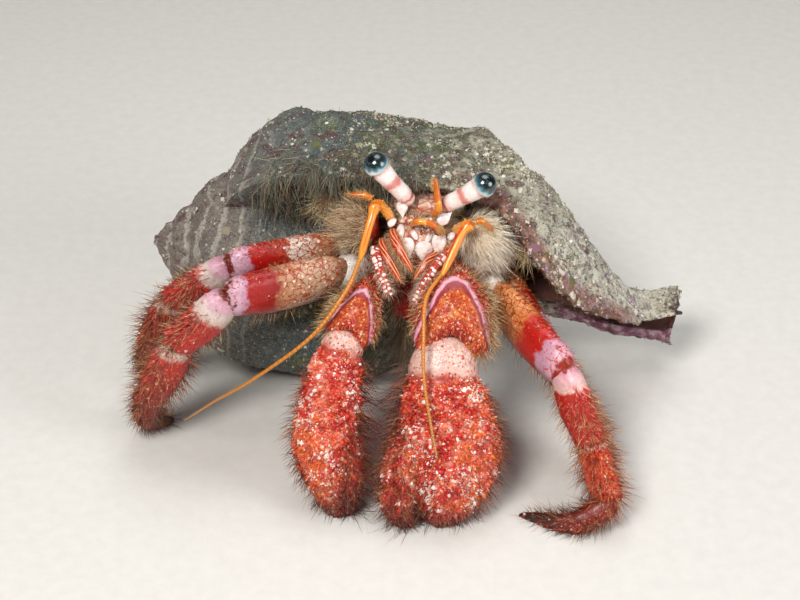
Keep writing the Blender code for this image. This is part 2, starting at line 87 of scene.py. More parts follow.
def curve(table, x):
    """Smooth values of a table of (x, value, ...) rows, held at its ends."""
    rows = np.asarray(table, float)
    xs, ys = rows[:, 0], rows[:, 1:]
    last = len(xs) - 1
    ahead, behind = np.minimum(np.arange(last + 1) + 1, last), np.maximum(np.arange(last + 1) - 1, 0)
    slope = (ys[ahead] - ys[behind]) / (xs[ahead] - xs[behind])[:, None]
    x = np.clip(np.asarray(x, float), xs[0], xs[-1])
    i = np.clip(np.searchsorted(xs, x, side="right") - 1, 0, last - 1)
    span = (xs[i + 1] - xs[i])[..., None]
    t = (x - xs[i])[..., None] / span
    rise0, rise1, step = slope[i] * span, slope[i + 1] * span, ys[i + 1] - ys[i]
    out = ys[i] + t * (rise0 + t * (step * 3 - rise0 * 2 - rise1 + t * (rise0 + rise1 - step * 2)))
    return out[..., 0] if out.shape[-1] == 1 else out


def spine(knots, t):
    """Points at t of a Catmull-Rom curve through the knots."""
    k = np.asarray(knots, float)
    spans = len(k) - 1
    k = np.vstack((k[0] * 2 - k[1], k, k[-1] * 2 - k[-2]))
    place = np.clip(t, 0, 1) * spans
    i = np.minimum(place.astype(int), spans - 1)
    u = (place - i)[:, None]
    p0, p1, p2, p3 = k[i], k[i + 1], k[i + 2], k[i + 3]
    return 0.5 * (p1 * 2 + (p2 - p0) * u + (p0 * 2 - p1 * 5 + p2 * 4 - p3) * u**2
                  + (p1 * 3 - p0 - p2 * 3 + p3) * u**3)


def noise(points, scale, seed=0, octaves=1):
    """Smooth random values, about -1 to 1, at points, from a hash of the cells they lie in."""
    total, gain = 0.0, 1.0
    for octave in range(octaves):
        p = np.asarray(points, float) * scale * 2**octave + 17.3 * octave
        cell = np.floor(p)
        f = p - cell
        f = f * f * (3 - 2 * f)
        cell = cell.astype(np.int64)
        value = 0.0
        for corner in range(8):
            o = np.array((corner & 1, corner >> 1 & 1, corner >> 2))
            c = cell + o
            h = c[..., 0] * 374761393 + c[..., 1] * 668265263 + c[..., 2] * 2147483647 + seed * 1013
            h = h & 0xFFFFFFFF
            h = ((h ^ (h >> 13)) * 1274126177) & 0xFFFFFFFF
            weight = np.prod(np.where(o, f, 1 - f), axis=-1)
            value = value + weight * (((h ^ (h >> 16)) & 0xFFFF) / 32767.5 - 1)
        total = total + value * gain
        gain *= 0.5
    return total


def smooth(low, high, x):
    """0 to 1 as x goes from low to high, or the other way where high is the smaller."""
    t = np.clip((x - low) / (high - low), 0, 1)
    return t * t * (3 - 2 * t)


def bell(x, middle, width):
    return np.exp(-((x - middle) / width) ** 2)


# ------------------------------------------------------------------ meshes
def mesh_object(name, points, faces, material, vectors, uv=None):
    """A mesh in metres. faces is a list of index arrays, each with its own number of corners."""
    mesh = bpy.data.meshes.new(name)
    mesh.vertices.add(len(points))
    mesh.vertices.foreach_set("co", metres(points).astype(np.float32).ravel())
    loops = np.concatenate([f.ravel() for f in faces])
    totals = np.concatenate([np.full(len(f), f.shape[1]) for f in faces])
    mesh.loops.add(len(loops))
    mesh.loops.foreach_set("vertex_index", loops.astype(np.int32))
    mesh.polygons.add(len(totals))
    starts = np.concatenate(([0], np.cumsum(totals)[:-1]))
    mesh.polygons.foreach_set("loop_start", starts.astype(np.int32))
    mesh.polygons.foreach_set("loop_total", totals.astype(np.int32))
    mesh.polygons.foreach_set("use_smooth", np.ones(len(totals), bool))
    mesh.update(calc_edges=True)
    for label, values in vectors.items():
        layer = mesh.attributes.new(label, "FLOAT_VECTOR", "POINT")
        layer.data.foreach_set("vector", np.asarray(values, np.float32).ravel())
    if uv is not None:
        layer = mesh.uv_layers.new(name="OFBake")
        layer.data.foreach_set("uv", np.asarray(uv, np.float32)[loops].ravel())
    mesh.materials.append(material)
    return placed(bpy.data.objects.new(name, mesh))


def placed(obj):
    bpy.context.scene.collection.objects.link(obj)
    return obj


def plain_object(name, points, faces):
    """A mesh in metres to work on with modifiers."""
    mesh = bpy.data.meshes.new(name)
    mesh.from_pydata(points.tolist(), [], faces)
    return placed(bpy.data.objects.new(name, mesh))


def read(items, field, wide=1, kind=np.int32):
    values = np.empty(len(items) * wide, kind)
    items.foreach_get(field, values)
    return values.reshape(-1, wide) if wide > 1 else values


class Piece:
    """Gathers skins, grains and hairs into one object of one material."""

    def __init__(self, name, material):
        self.name, self.material = name, material
        self.points, self.faces, self.uv = [], [], []
        self.spot, self.root, self.form = [], [], []
        self.count = 0

    def add(self, points, faces, spot, tip=0.0, pick=0.0, kind=SKIN, root=None, uv=None):
        points = np.asarray(points, float).reshape(-1, 3)
        n = len(points)
        self.points.append(points)
        self.faces += [face + self.count for face in faces]
        self.spot.append(np.broadcast_to(spot, (n, 3)))
        self.root.append(points if root is None else np.broadcast_to(root, (n, 3)))
        ones = np.ones(n)
        self.form.append(np.stack((ones * tip, ones * pick, ones * kind), 1))
        if uv is not None:
            self.uv.append(uv)
        self.count += n

    def make(self, slot, *nodes):
        """Puts the object in the scene, in place of the nodes where there are any."""
        vectors = {"spot": np.vstack(self.spot), "root": np.vstack(self.root), "form": np.vstack(self.form)}
        uv = np.vstack(self.uv) if self.uv else None
        obj = mesh_object(self.name, np.vstack(self.points), self.faces, self.material, vectors, uv)
        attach(obj, "root")
        if nodes:
            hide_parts(*nodes)


def grid_faces(rows, columns):
    """Faces of a grid of points, closed round its columns."""
    r, c = np.meshgrid(np.arange(rows - 1), np.arange(columns), indexing="ij")
    d = (c + 1) % columns
    quads = np.stack((r * columns + c, r * columns + d, (r + 1) * columns + d, (r + 1) * columns + c), -1)
    return quads.reshape(-1, 4)


def tube_faces(rows, columns):
    """Faces of a grid of points with a fan at each end to the two points that follow it."""
    body, i = rows * columns, np.arange(columns)
    j = (i + 1) % columns
    first = np.stack((j, i, np.full(columns, body)), 1)
    last = np.stack((i + body - columns, j + body - columns, np.full(columns, body + 1)), 1)
    return [grid_faces(rows, columns), first, last]


def cone_faces(sides):
    """Faces of two rings of points and a tip."""
    i = np.arange(sides)
    j = (i + 1) % sides
    return [np.stack((i, j, j + sides, i + sides), 1),
            np.stack((i + sides, j + sides, np.full(sides, 2 * sides)), 1)]


class Skin:
    """A closed tube of points, rows along it and columns round it."""

    def __init__(self, knots, sizes, across, rows=48, columns=56, blunt=4.0, swell=None):
        t = 0.5 - 0.5 * np.cos(np.pi * np.arange(1, rows + 1) / (rows + 1))
        centre = spine(knots, t)
        along = unit(spine(knots, t + 0.02) - spine(knots, t - 0.02))
        across = np.asarray(across, float)
        side = unit(across - along * (along @ across)[:, None])
        deep = np.cross(along, side)
        off = (1 - np.abs(2 * t - 1) ** blunt) ** (1 / blunt)
        half = curve(sizes, t) * off[:, None]
        angle = 2 * np.pi * np.arange(columns) / columns
        self.t = np.repeat(t[:, None], columns, 1)
        self.cos = np.broadcast_to(np.cos(angle), self.t.shape)
        self.sin = np.broadcast_to(np.sin(angle), self.t.shape)
        out = (side[:, None] * (half[:, None, :1] * np.cos(angle)[None, :, None])
               + deep[:, None] * (half[:, None, 1:] * np.sin(angle)[None, :, None]))
        scale = swell(self.t, self.cos, self.sin)[..., None] if swell else 1.0
        self.points = centre[:, None] + out * scale
        self.tips = np.asarray(knots, float)[[0, -1]]
        self.along = np.broadcast_to(along[:, None], self.points.shape)
        self.settle()

    def settle(self):
        """Works out the normals, once the points are where they belong."""
        round_way = np.roll(self.points, -1, 1) - np.roll(self.points, 1, 1)
        long_way = np.gradient(self.points, axis=0)
        self.normal = unit(np.cross(round_way, long_way))
        middle = self.points.mean(1, keepdims=True)
        if (self.normal * (self.points - middle)).sum() < 0:
            self.normal = -self.normal
        self.area = np.linalg.norm(np.cross(round_way, long_way), axis=-1)

    def push(self, height):
        self.points = self.points + self.normal * height[..., None]
        self.settle()

    def spots(self):
        return np.stack((self.t, self.cos, self.sin), -1)

    def into(self, piece):
        body = self.t.size
        points = np.vstack((self.points.reshape(-1, 3), self.tips))
        spots = np.vstack((self.spots().reshape(-1, 3), ((0, 0, 0), (1, 0, 0))))
        faces = tube_faces(*self.t.shape)
        middle = faces[0][body // 2]
        a, b, c = points[middle[:3]]
        if np.cross(b - a, c - b) @ self.normal.reshape(-1, 3)[middle[0]] < 0:
            faces = [f[:, ::-1] for f in faces]
        piece.add(points, faces, spots)

    def scatter(self, count, density=None):
        """Random places on the skin, more of them where density(t, cos, sin) is high."""
        count = max(FEWEST, int(count * SHARE))
        weight = self.area * (1.0 if density is None else density(self.t, self.cos, self.sin))
        heap = np.cumsum(weight[:-1].ravel())
        pick = np.searchsorted(heap, rng.random(count) * heap[-1])
        rows, columns = self.t.shape
        r, c = pick // columns, pick % columns
        d = (c + 1) % columns
        u, v = rng.random((2, count))[..., None]

        def blend(grid):
            return ((grid[r, c] * (1 - v) + grid[r, d] * v) * (1 - u)
                    + (grid[r + 1, c] * (1 - v) + grid[r + 1, d] * v) * u)

        uv = np.stack(((c + v[:, 0]) / columns, (r + u[:, 0]) / rows), 1)
        return Places(blend(self.points), unit(blend(self.normal)), unit(blend(self.along)),
                      blend(self.spots()), in_map(uv))


def in_map(uv):
    return MAP_EDGE + (1 - 2 * MAP_EDGE) * uv


class Surface:
    """A free mesh that hairs and grains can grow on."""

    def __init__(self, points, faces, spot, uv):
        self.points, self.quads, self.spot, self.uv = points, faces[0], spot, uv
        normal = np.zeros_like(points)
        for f in faces:
            side = np.cross(points[f[:, 2]] - points[f[:, 0]], points[f[:, -1]] - points[f[:, 1]])
            for k in range(f.shape[1]):
                np.add.at(normal, f[:, k], side)
        self.normal = unit(normal)
        corner = points[self.quads]
        crossed = np.cross(corner[:, 2] - corner[:, 0], corner[:, 3] - corner[:, 1])
        self.area = np.linalg.norm(crossed, axis=1)

    def scatter(self, count, density, way):
        """Random places, denser where density(spots, points) is high. way gives how hairs lie."""
        q = self.quads
        heap = np.cumsum(self.area * density(self.spot[q[:, 0]], self.points[q].mean(1)))
        draw = rng.random(max(FEWEST, int(count * SHARE))) * heap[-1]
        pick = q[np.minimum(np.searchsorted(heap, draw), len(q) - 1)]
        a, b = rng.random((2, len(pick), 1))

        def blend(values):
            v = values[pick]
            return (v[:, 0] * (1 - a) + v[:, 1] * a) * (1 - b) + (v[:, 3] * (1 - a) + v[:, 2] * a) * b

        point, normal = blend(self.points), unit(blend(self.normal))
        along = way(point)
        along = unit(along - normal * (along * normal).sum(1, keepdims=True))
        return Places(point, normal, along, self.spot[pick[:, 0]], self.uv[pick[:, 0]])


class Places:
    """Points on a skin with their normals, the way along the skin, spots and places to bake."""

    def __init__(self, point, normal, along, spot, uv):
        self.point, self.normal, self.along, self.spot, self.uv = point, normal, along, spot, uv
        self.n = len(point)
        self.across = np.cross(normal, along)


def plant(piece, places, points, tip, offsets, kind):
    """Adds one cone at each place. offsets spread its points over its place in the map."""
    n, k = points.shape[:2]
    base = (np.arange(n) * k)[:, None, None]
    faces = [(block + base).reshape(-1, block.shape[1]) for block in cone_faces(k // 2)]
    uv = None
    if places.uv is not None:
        uv = (places.uv[:, None] + offsets[None] * PATCH).reshape(-1, 2)
    piece.add(points, faces, np.repeat(places.spot, k, 0), np.tile(tip, n), np.repeat(rng.random(n), k), kind,
              np.repeat(places.point, k, 0), uv)


GRAIN_RINGS, GRAIN_LEVELS = (1.0, 0.78), (-0.25, 0.55, 1.0)


def grow_grains(piece, places, radius, height, lean=0.0, sides=5, kind=GRAIN, spread=0.35, jag=0.14):
    """Small blunt cones, or spines where the height is large. jag makes them uneven."""
    n = places.n
    turn = 2 * np.pi * np.arange(sides) / sides
    x = np.append(np.outer(GRAIN_RINGS, np.cos(turn)), 0.0)
    y = np.append(np.outer(GRAIN_RINGS, np.sin(turn)), 0.0)
    z = np.repeat(GRAIN_LEVELS, (sides, sides, 1))
    size = (radius * np.exp(rng.normal(0, spread, n)))[:, None, None]
    tall = (height * np.exp(rng.normal(0, spread, n)))[:, None, None]
    wide_x, wide_y, high = 1 + rng.normal(0, jag, (3, n, len(x)))
    way = unit(places.normal + places.along * lean)[:, None]
    flat = (places.along[:, None] * (x * wide_x)[..., None]
            + places.across[:, None] * (y * wide_y)[..., None])
    points = places.point[:, None] + flat * size + way * (z * high)[..., None] * tall
    plant(piece, places, points, np.clip(z, 0, 1), np.stack((x, y), 1), kind)


HAIR_STEPS, HAIR_TAPER, LENGTH_LIMITS = (0.0, 0.55, 1.0), 0.6, (-2.5, 1.8)


def grow_hairs(piece, places, length, radius, lean=0.6, droop=0.0, stray=0.25, curl=0.2, spread=0.25):
    """Tapering bristles of three sides that lean along the skin, droop and curl."""
    n = places.n
    start = unit(places.normal + places.along * lean + rng.normal(0, stray, (n, 3)))
    bend = places.along * curl + rng.normal(0, stray * 0.5, (n, 3)) + np.array((0, 0, -droop))
    length = length * np.exp(spread * np.clip(rng.normal(0, 1, n), *LENGTH_LIMITS))[:, None]
    side = unit(np.cross(start, rng.normal(0, 1, (n, 3))))
    other = np.cross(start, side)
    turn = 2 * np.pi * np.arange(3) / 3
    rings = []
    for s in HAIR_STEPS[:2]:
        centre = places.point + (start * s + bend * s * s) * length
        width = radius * (1 - s * HAIR_TAPER)
        rings += [centre + (side * math.cos(a) + other * math.sin(a)) * width for a in turn]
    rings.append(places.point + (start + bend) * length)
    tip = np.repeat(HAIR_STEPS, (3, 3, 1))
    across = np.cos(np.append(np.tile(turn, 2), 0.0)) * (1 - tip)
    plant(piece, places, np.stack(rings, 1), tip, np.stack((across, tip * 1.6 - 0.8), 1), HAIR)


# ------------------------------------------------------------------ materials
def rgb(code):
    """Linear colour of a hex code."""
    parts = [int(code[i:i + 2], 16) / 255 for i in (0, 2, 4)]
    return (*[p / 12.92 if p <= 0.04045 else ((p + 0.055) / 1.055) ** 2.4 for p in parts], 1.0)


class Field:
    """A node's output in a Paint, which adds, subtracts and multiplies through Math nodes."""

    def __init__(self, paint, socket):
        self.paint, self.socket = paint, socket

    def __add__(self, other):
        return self.paint.math("ADD", self, other)

    def __sub__(self, other):
        return self.paint.math("SUBTRACT", self, other)

    def __mul__(self, other):
        return self.paint.math("MULTIPLY", self, other)


class Paint:
    """A Principled material and short calls for the nodes that feed it."""

    def __init__(self, name, rough=0.4, **sockets):
        self.material = bpy.data.materials.new(name)
        self.material.use_nodes = True
        self.tree = self.material.node_tree
        self.shader = self.tree.nodes["Principled BSDF"]
        self.shader.inputs["Roughness"].default_value = rough
        for label, value in sockets.items():
            self.shader.inputs[label.replace("_", " ")].default_value = value

    def feed(self, socket, value):
        """Links a field to a socket, or sets its colour or number."""
        if isinstance(value, Field):
            self.tree.links.new(value.socket, socket)
        else:
            socket.default_value = rgb(value) if isinstance(value, str) else value

    def node(self, kind, inputs, out=0, **settings):
        node = self.tree.nodes.new("ShaderNode" + kind)
        for label, value in settings.items():
            setattr(node, label, value)
        for key, value in inputs.items():
            self.feed(node.inputs[key], value)
        return Field(self, node.outputs[out])

    def attribute(self, name):
        return self.node("Attribute", {}, "Vector", attribute_name=name)

    def parts(self, name):
        node = self.tree.nodes.new("ShaderNodeSeparateXYZ")
        self.feed(node.inputs[0], self.attribute(name))
        return [Field(self, socket) for socket in node.outputs]

    def math(self, operation, a, b=0.0):
        return self.node("Math", {0: a, 1: b}, operation=operation)

    def noise(self, where, scale, detail=3.0, rough=0.55, distortion=0.0):
        return self.node("TexNoise", {"Vector": where, "Scale": scale, "Detail": detail, "Roughness": rough,
                                      "Distortion": distortion})

    def cells(self, where, scale, feature="F1"):
        return self.node("TexVoronoi", {"Vector": where, "Scale": scale}, "Distance", feature=feature)

    def ramp(self, value, stops, kind="LINEAR"):
        """Colours, as hex codes or numbers, at places between 0 and 1."""
        node = self.tree.nodes.new("ShaderNodeValToRGB")
        node.color_ramp.interpolation = kind
        elements = node.color_ramp.elements
        for n, (place, colour) in enumerate(stops):
            element = elements[n] if n < 2 else elements.new(place)
            element.position, element.color = place, rgb(colour) if isinstance(colour, str) else colour
        self.feed(node.inputs[0], value)
        return Field(self, node.outputs[0])

    def mask(self, value, low, high, floor=0.0, top=1.0):
        return self.node("MapRange", {"Value": value, "From Min": low, "From Max": high, "To Min": floor,
                                      "To Max": top}, interpolation_type="SMOOTHSTEP")

    def band(self, value, low, high, soft=0.04):
        return self.mask(value, low - soft, low + soft) * self.mask(value, high - soft, high + soft, 1, 0)

    def mix(self, factor, a, b, blend="MIX"):
        return self.node("Mix", {0: factor, 6: a, 7: b}, 2, data_type="RGBA", blend_type=blend)

    def shade(self, colour, share, value, dark, pale, low=0.25, high=0.75):
        """Darkens and lightens a colour by a field, from a dark factor to a pale one."""
        factor = self.ramp(value, ((low, (*dark, 1)), (high, (*pale, 1))))
        return self.mix(share, colour, factor, "MULTIPLY")

    def bump(self, height, distance, strength=1.0, over=None):
        inputs = {"Height": height, "Distance": distance, "Strength": strength}
        if over is not None:
            inputs["Normal"] = over
        return self.node("Bump", inputs)

    def done(self, colour, normal=None):
        self.feed(self.shader.inputs["Base Color"], colour)
        if normal is not None:
            self.feed(self.shader.inputs["Normal"], normal)
        return self.material




# ------------------------------------------------------------------ armour
PALE_GRAINS = ((0.0, "f0ddd0"), (0.1, "e2a894"), (0.22, "c8452c"), (0.7, "b02a18"), (1.0, "8a150c"))


def cuticle(name, bands, chevron=0.0, wobble=0.05, nets=(), dots=(), grains=PALE_GRAINS, zones=None, tip=None,
            hair=("6a3c20", "e6c48c"), grain_share=0.7):
    """Armour of a limb. bands are colours along it, nets and dots drawn between two shares of
    the length: (from, to, colour, size in mm, width). zones are broad patches: side they lean
    to, where they start and their colours. tip darkens the end: (from, to, colour, share)."""
    paint = Paint(name, 0.38, Coat_Weight=0.2, Coat_Roughness=0.3)
    spot, form, root = paint.parts("spot"), paint.parts("form"), paint.attribute("root")
    along = spot[0] + (paint.noise(root, 0.35) - 0.5) * (wobble * 4)
    if chevron:
        along = along - spot[1] * spot[1] * chevron
    colour = paint.ramp(along, bands, "EASE")
    if zones:
        side, start, table = zones
        patchy = paint.noise(root, 0.22, 3.0, 0.65) * 2.4 - 1.0
        zone = paint.ramp(patchy + (spot[1] * (0.2 * side) + spot[0] * 0.25), table)
        colour = paint.mix(paint.mask(along, start, start + 0.04), colour, zone)
    fine = paint.noise(root, 1.6, 4.0, 0.65)
    colour = paint.shade(colour, 0.85, fine, (0.66, 0.6, 0.58), (1.14, 1.12, 1.1))
    warp = paint.node("TexNoise", {"Vector": root, "Scale": 0.9}, 1)
    warped = paint.mix(0.12, root, warp, "LINEAR_LIGHT")
    for low, high, code, size, width in dots:
        blot = paint.mask(paint.cells(warped, 1 / size), width * 0.6, width, 1, 0)
        colour = paint.mix(blot * paint.band(along, low, high), colour, code)
    broken = paint.noise(root, 1.1) * 0.4 - 0.2
    for low, high, code, size, width in nets:
        edge = paint.cells(warped, 1 / size, "DISTANCE_TO_EDGE") + broken
        lines = paint.mask(edge, width * 0.35, width, 1, 0)
        colour = paint.mix(lines * paint.band(along, low, high), colour, code)
    # Painted shade: the underside of each part, where sin runs below 0 away from the back, is darkened with
    # dark brown.
    colour = paint.mix(paint.mask(spot[2], -0.9, 0.0, 0.25, 0.0), colour, "3a1a10")
    clumps = paint.noise(root, 0.75, 2.0) * 1.5 - 0.55
    grain = paint.ramp(form[1] * 0.6 + clumps, grains)
    if zones:
        grain = paint.mix(0.35, grain, zone)
    tipped = paint.band(form[2], 0.4, 0.6, 0.05) * paint.mask(form[0], 0.0, 0.75, 0.1, grain_share)
    colour = paint.mix(tipped, colour, grain)
    fleck = paint.ramp(form[1], ((0.0, "f4ece4"), (0.5, "ead6ca"), (1.0, "e0b4a2")))
    colour = paint.mix(paint.band(form[2], 0.66, 0.74, 0.03), colour, fleck)
    strand = paint.ramp(form[1], ((0.0, hair[0]), (0.45, hair[0]), (1.0, hair[1])))
    # Painted shade darkens each bristle at its root; the lighter end is the bristle's own pale tip.
    lit = paint.ramp(form[0], ((0.0, (0.5, 0.42, 0.4, 1)), (0.5, (1, 1, 1, 1)), (1.0, (1.45, 1.4, 1.3, 1))))
    strand = paint.mix(1.0, strand, lit, "MULTIPLY")
    colour = paint.mix(paint.mask(form[2], 0.85, 0.95), colour, strand)
    if tip:
        low, high, code, share = tip
        colour = paint.mix(paint.mask(along, low, high, 0.0, share), colour, code)
    normal = paint.bump(paint.cells(root, 3.2), 0.00006, 0.7)
    return paint.done(colour, paint.bump(fine, 0.000096, 0.8, normal))


def strand_paint(name, dark, pale):
    """Bristles alone: each has its own colour between dark and pale, darkened at its root by painted shade
    and lighter to its own pale tip.
    """
    paint = Paint(name, 0.5)
    form = paint.parts("form")
    colour = paint.ramp(form[1], ((0.0, dark), (1.0, pale)))
    # Painted shade at the roots; the lighter end is each bristle's own pale tip.
    light = ((0.0, (0.78, 0.72, 0.66, 1)), (0.5, (1, 1, 1, 1)), (1.0, (1.2, 1.18, 1.16, 1)))
    return paint.done(paint.mix(1.0, colour, paint.ramp(form[0], light), "MULTIPLY"))


# ------------------------------------------------------------------ objects of skins and coats
def dress(node, slot, material, *skins):
    """One object of skins in place of a node of the same name."""
    piece = Piece(node + "_skin", material)
    for skin in skins:
        skin.into(piece)
    piece.make(slot, node)


def coat(name, slot, material, hairs, grains=()):
    """One object of hairs and grains: (places, settings for grow_hairs or grow_grains) of each."""
    piece = Piece(name, material)
    for places, settings in grains:
        grow_grains(piece, places, **settings)
    for places, settings in hairs:
        grow_hairs(piece, places, **settings)
    piece.make(slot)


def sown(skin, growths, share=1.0):
    """Places and settings of growths: (how many, where they are dense, settings)."""
    return [(skin.scatter(count * share, where), settings) for count, where, settings in growths]


# ------------------------------------------------------------------ legs
LEGS = {
    "leg2_right": (
        (-6.6, -10, 39.5), (-13.8, -17.8, 44.4), (-39.4, -31, 45.8), (-51.6, -30, 32.1),
        (-59.7, -28, 13.9), (-60.5, -23.5, 5), (-56, -17.5, -0.5),
    ),
    "leg3_right": (
        (-5, -4, 45.6), (-14.4, -10.6, 47), (-40, -18.5, 46.5), (-54.3, -14.3, 33.3),
        (-61, -9.5, 16.5), (-62.5, -6.5, 7), (-59.5, -3.5, -0.5),
    ),
    "leg2_left": (
        (16.5, -7, 37), (23.2, -16.5, 37.2), (37.5, -40.5, 32.2), (43.9, -46.5, 15.6),
        (47.6, -56.5, 7.3), (39.5, -57.6, 2.2), (27.5, -52.5, -0.3),
    ),
    "leg3_left": (
        (14.5, 4.5, 41), (21, -0.8, 39.6), (35, -22, 26), (41, -31, 18),
        (46.5, -38.5, 9), (48, -44, 3.2), (46, -50, -0.5),
    ),
}
LEG_PARTS = ("ischium", "merus", "carpus", "propodus", "dactyl")
LEG_SIZES = {
    "ischium": ((4.4, 3.6), (4.8, 3.9), (4.4, 3.5)),
    "merus": ((5.4, 3.6), (6.5, 4.3), (5.2, 3.9)),
    "carpus": ((4.3, 3.5), (4.9, 4.0), (4.4, 3.6)),
    "propodus": ((4.2, 3.3), (4.7, 3.6), (4.1, 3.2)),
    "dactyl": ((3.4, 2.8), (2.7, 2.3), (1.2, 1.2)),
}
LEG_LAP = 1.6
LEG_BOW = 0.05  # of the length
LEG_SHARE = {"leg2_right": 1.0, "leg3_right": 0.86, "leg2_left": 0.94, "leg3_left": 0.82}

CLAW_GRAINS = (
    (0.0, "f6ddd0"), (0.1, "eeb4a0"), (0.2, "e07a60"), (0.3, "c8200e"), (0.45, "960a04"), (0.58, "bc180a"),
    (0.7, "dc4c1a"), (0.84, "ee8438"), (0.95, "f6ccb0"),
)
LILAC, CREASE = "c496ae", "6a160c"
LEG_HAIR = ("6a3c20", "e8c890")
LEG_PAINT = {
    "ischium": dict(
        bands=((0.0, "a5714c"), (0.4, "c4a080"), (0.7, "e0dad2"), (1.0, "e6e2dc")),
        dots=((0.1, 0.8, "8a4a2c", 1.3, 0.3),), hair=("9c7a4e", "e8d4a8")),
    # merus_right, carpus and propodus dress only the right legs. Their tan, red and lilac are darker than the
    # left legs' colours, and that difference is painted shade.
    "merus_right": dict(
        bands=((0.0, "a8805e"), (0.3, "c4a488"), (0.58, "bc8c68"), (0.66, "960d06"), (0.83, "a80c05"),
               (0.88, LILAC), (0.95, "d0a8ba"), (0.97, CREASE), (1.0, CREASE)),
        # The pale dots at the cell centres are partly the merus's own pale spots and partly painted
        # highlight.
        dots=((0.0, 0.6, "e6d2bc", 1.4, 0.3),), nets=((0.0, 0.63, "9c3c14", 1.6, 0.075),), hair=LEG_HAIR),
    "merus_left": dict(
        bands=((0.0, "d89858"), (0.3, "dc9458"), (0.5, "d48044"), (0.57, "b8180a"), (0.74, "c01408"),
               (0.79, "cf9ab4"), (0.94, "dcaabc"), (0.97, "9a2010"), (1.0, "9a2010")),
        # The pale dots at the cell centres are partly the merus's own pale spots and partly painted
        # highlight.
        dots=((0.0, 0.5, "e6b888", 1.3, 0.25),), hair=("8c5a2c", "f0d09c"),
        nets=((0.0, 0.54, "a03a0c", 1.5, 0.075), (0.84, 0.96, "c04a20", 2.6, 0.05))),
    "carpus": dict(
        bands=((0.0, CREASE), (0.03, "c08c9c"), (0.12, "d0a4b4"), (0.24, "dcccc4"), (0.36, "d4b8ac"),
               (0.43, "b4140a"), (0.92, "ba1006"), (1.0, "780a05")),
        dots=((0.5, 1.0, "cc6a4c", 1.5, 0.24),), hair=LEG_HAIR),
    "propodus": dict(
        bands=((0.0, "8a2a1c"), (0.03, "dcc4b4"), (0.15, "d4b4a8"), (0.22, "b0180a"), (0.6, "a81e0c"),
               (1.0, "74160a")),
        dots=((0.2, 1.0, "cc6c48", 1.4, 0.34),), hair=("6a2410", "d89858"), grain_share=0.8),
    "dactyl": dict(
        bands=((0.0, "84200e"), (0.5, "6a180a"), (0.8, "42120a"), (0.93, "180a07"), (1.0, "100705")),
        dots=((0.0, 0.7, "a04a2a", 1.2, 0.3),), hair=("4e2010", "c88c54")),
}
# The far right leg's merus is darker than the left legs' too, by painted shade.
LEG_PAINT["leg3_right_merus"] = dict(
    LEG_PAINT["merus_right"],
    bands=((0.0, "a87c5a"), (0.22, "b0805c"), (0.3, "cabcae"), (0.48, "d8cec4"), (0.54, "960d06"),
           (0.8, "a80c05"), (0.85, LILAC), (0.94, "d0a8ba"), (0.97, CREASE), (1.0, CREASE)))
LEG_PAINT["carpus_left"] = dict(
    bands=((0.0, "9a2010"), (0.03, "dc9cac"), (0.12, "e6b4ba"), (0.24, "e8bcb4"), (0.3, "bc1a0c"),
           (0.8, "b8140a"), (1.0, "9c0e06")),
    dots=((0.35, 1.0, "d8704c", 1.4, 0.26),), hair=("b0643a", "f2cc98"))
LEG_PAINT["propodus_left"] = dict(
    LEG_PAINT["propodus"],
    bands=((0.0, "b03c24"), (0.03, "ecd0bc"), (0.16, "e8c0ac"), (0.23, "c4301a"), (0.6, "d04a28"),
           (1.0, "a02a10")),
    grains=CLAW_GRAINS, hair=("8c3414", "f0bc80"))


def sides(t, c, s):
    """Dense on the two edges of a segment and thin between them."""
    return smooth(0.2, 0.95, np.abs(s))


# Hairs of each part: how many, where they are dense (sin is 1 on the back) and their settings.
LEG_HAIRS = {
    "ischium": ((200, lambda t, c, s: 1.0, dict(length=1.8, radius=0.06)),),
    "merus": (
        (260, lambda t, c, s: 0.02 + smooth(-0.55, -0.95, s),
         dict(length=2.6, radius=0.065, lean=0.4, droop=0.2, stray=0.3)),
        (150, lambda t, c, s: smooth(0.75, 0.95, s), dict(length=1.3, radius=0.06, lean=0.6, stray=0.3)),
    ),
    "carpus": ((420, lambda t, c, s: (0.12 + smooth(0.3, 0.95, np.abs(s))) * smooth(0.2, 0.45, t),
                dict(length=2.7, radius=0.07, lean=0.5, stray=0.3)),),
    "propodus": ((760, lambda t, c, s: 0.2 + sides(t, c, s),
                  dict(length=3.6, radius=0.07, lean=0.45, stray=0.32)),),
    "dactyl": ((560, lambda t, c, s: (0.25 + sides(t, c, s)) * smooth(0.97, 0.8, t),
                dict(length=2.7, radius=0.065, lean=0.6, stray=0.32)),),
}
# Spines of each part, along its back and round its rim, in the same form.
BACK_SPINES = (34, lambda t, c, s: smooth(0.86, 0.99, s) * smooth(0.1, 0.2, t) * smooth(0.98, 0.9, t),
               dict(radius=0.42, height=1.25, lean=0.9, sides=7, spread=0.2))
LEG_SPINES = {
    "merus": (
        (40, lambda t, c, s: smooth(0.9, 0.99, s) * smooth(0.1, 0.2, t),
         dict(radius=0.3, height=0.55, lean=0.7, sides=7, spread=0.2)),
        (16, lambda t, c, s: smooth(0.92, 0.94, t) * smooth(0.97, 0.95, t),
         dict(radius=0.25, height=0.7, lean=1.2, spread=0.2)),
    ),
    "carpus": (BACK_SPINES,),
    "propodus": (BACK_SPINES,),
}
LEG_ROUGHNESS = {"ischium": 0.2, "merus": 0.3, "carpus": 0.9, "propodus": 1.3, "dactyl": 0.7}
LEG_GRAINS = 900  # on a part whose roughness is 1
LEG_COLLARS = {"merus": 0.09, "carpus": 0.1, "propodus": 0.07}


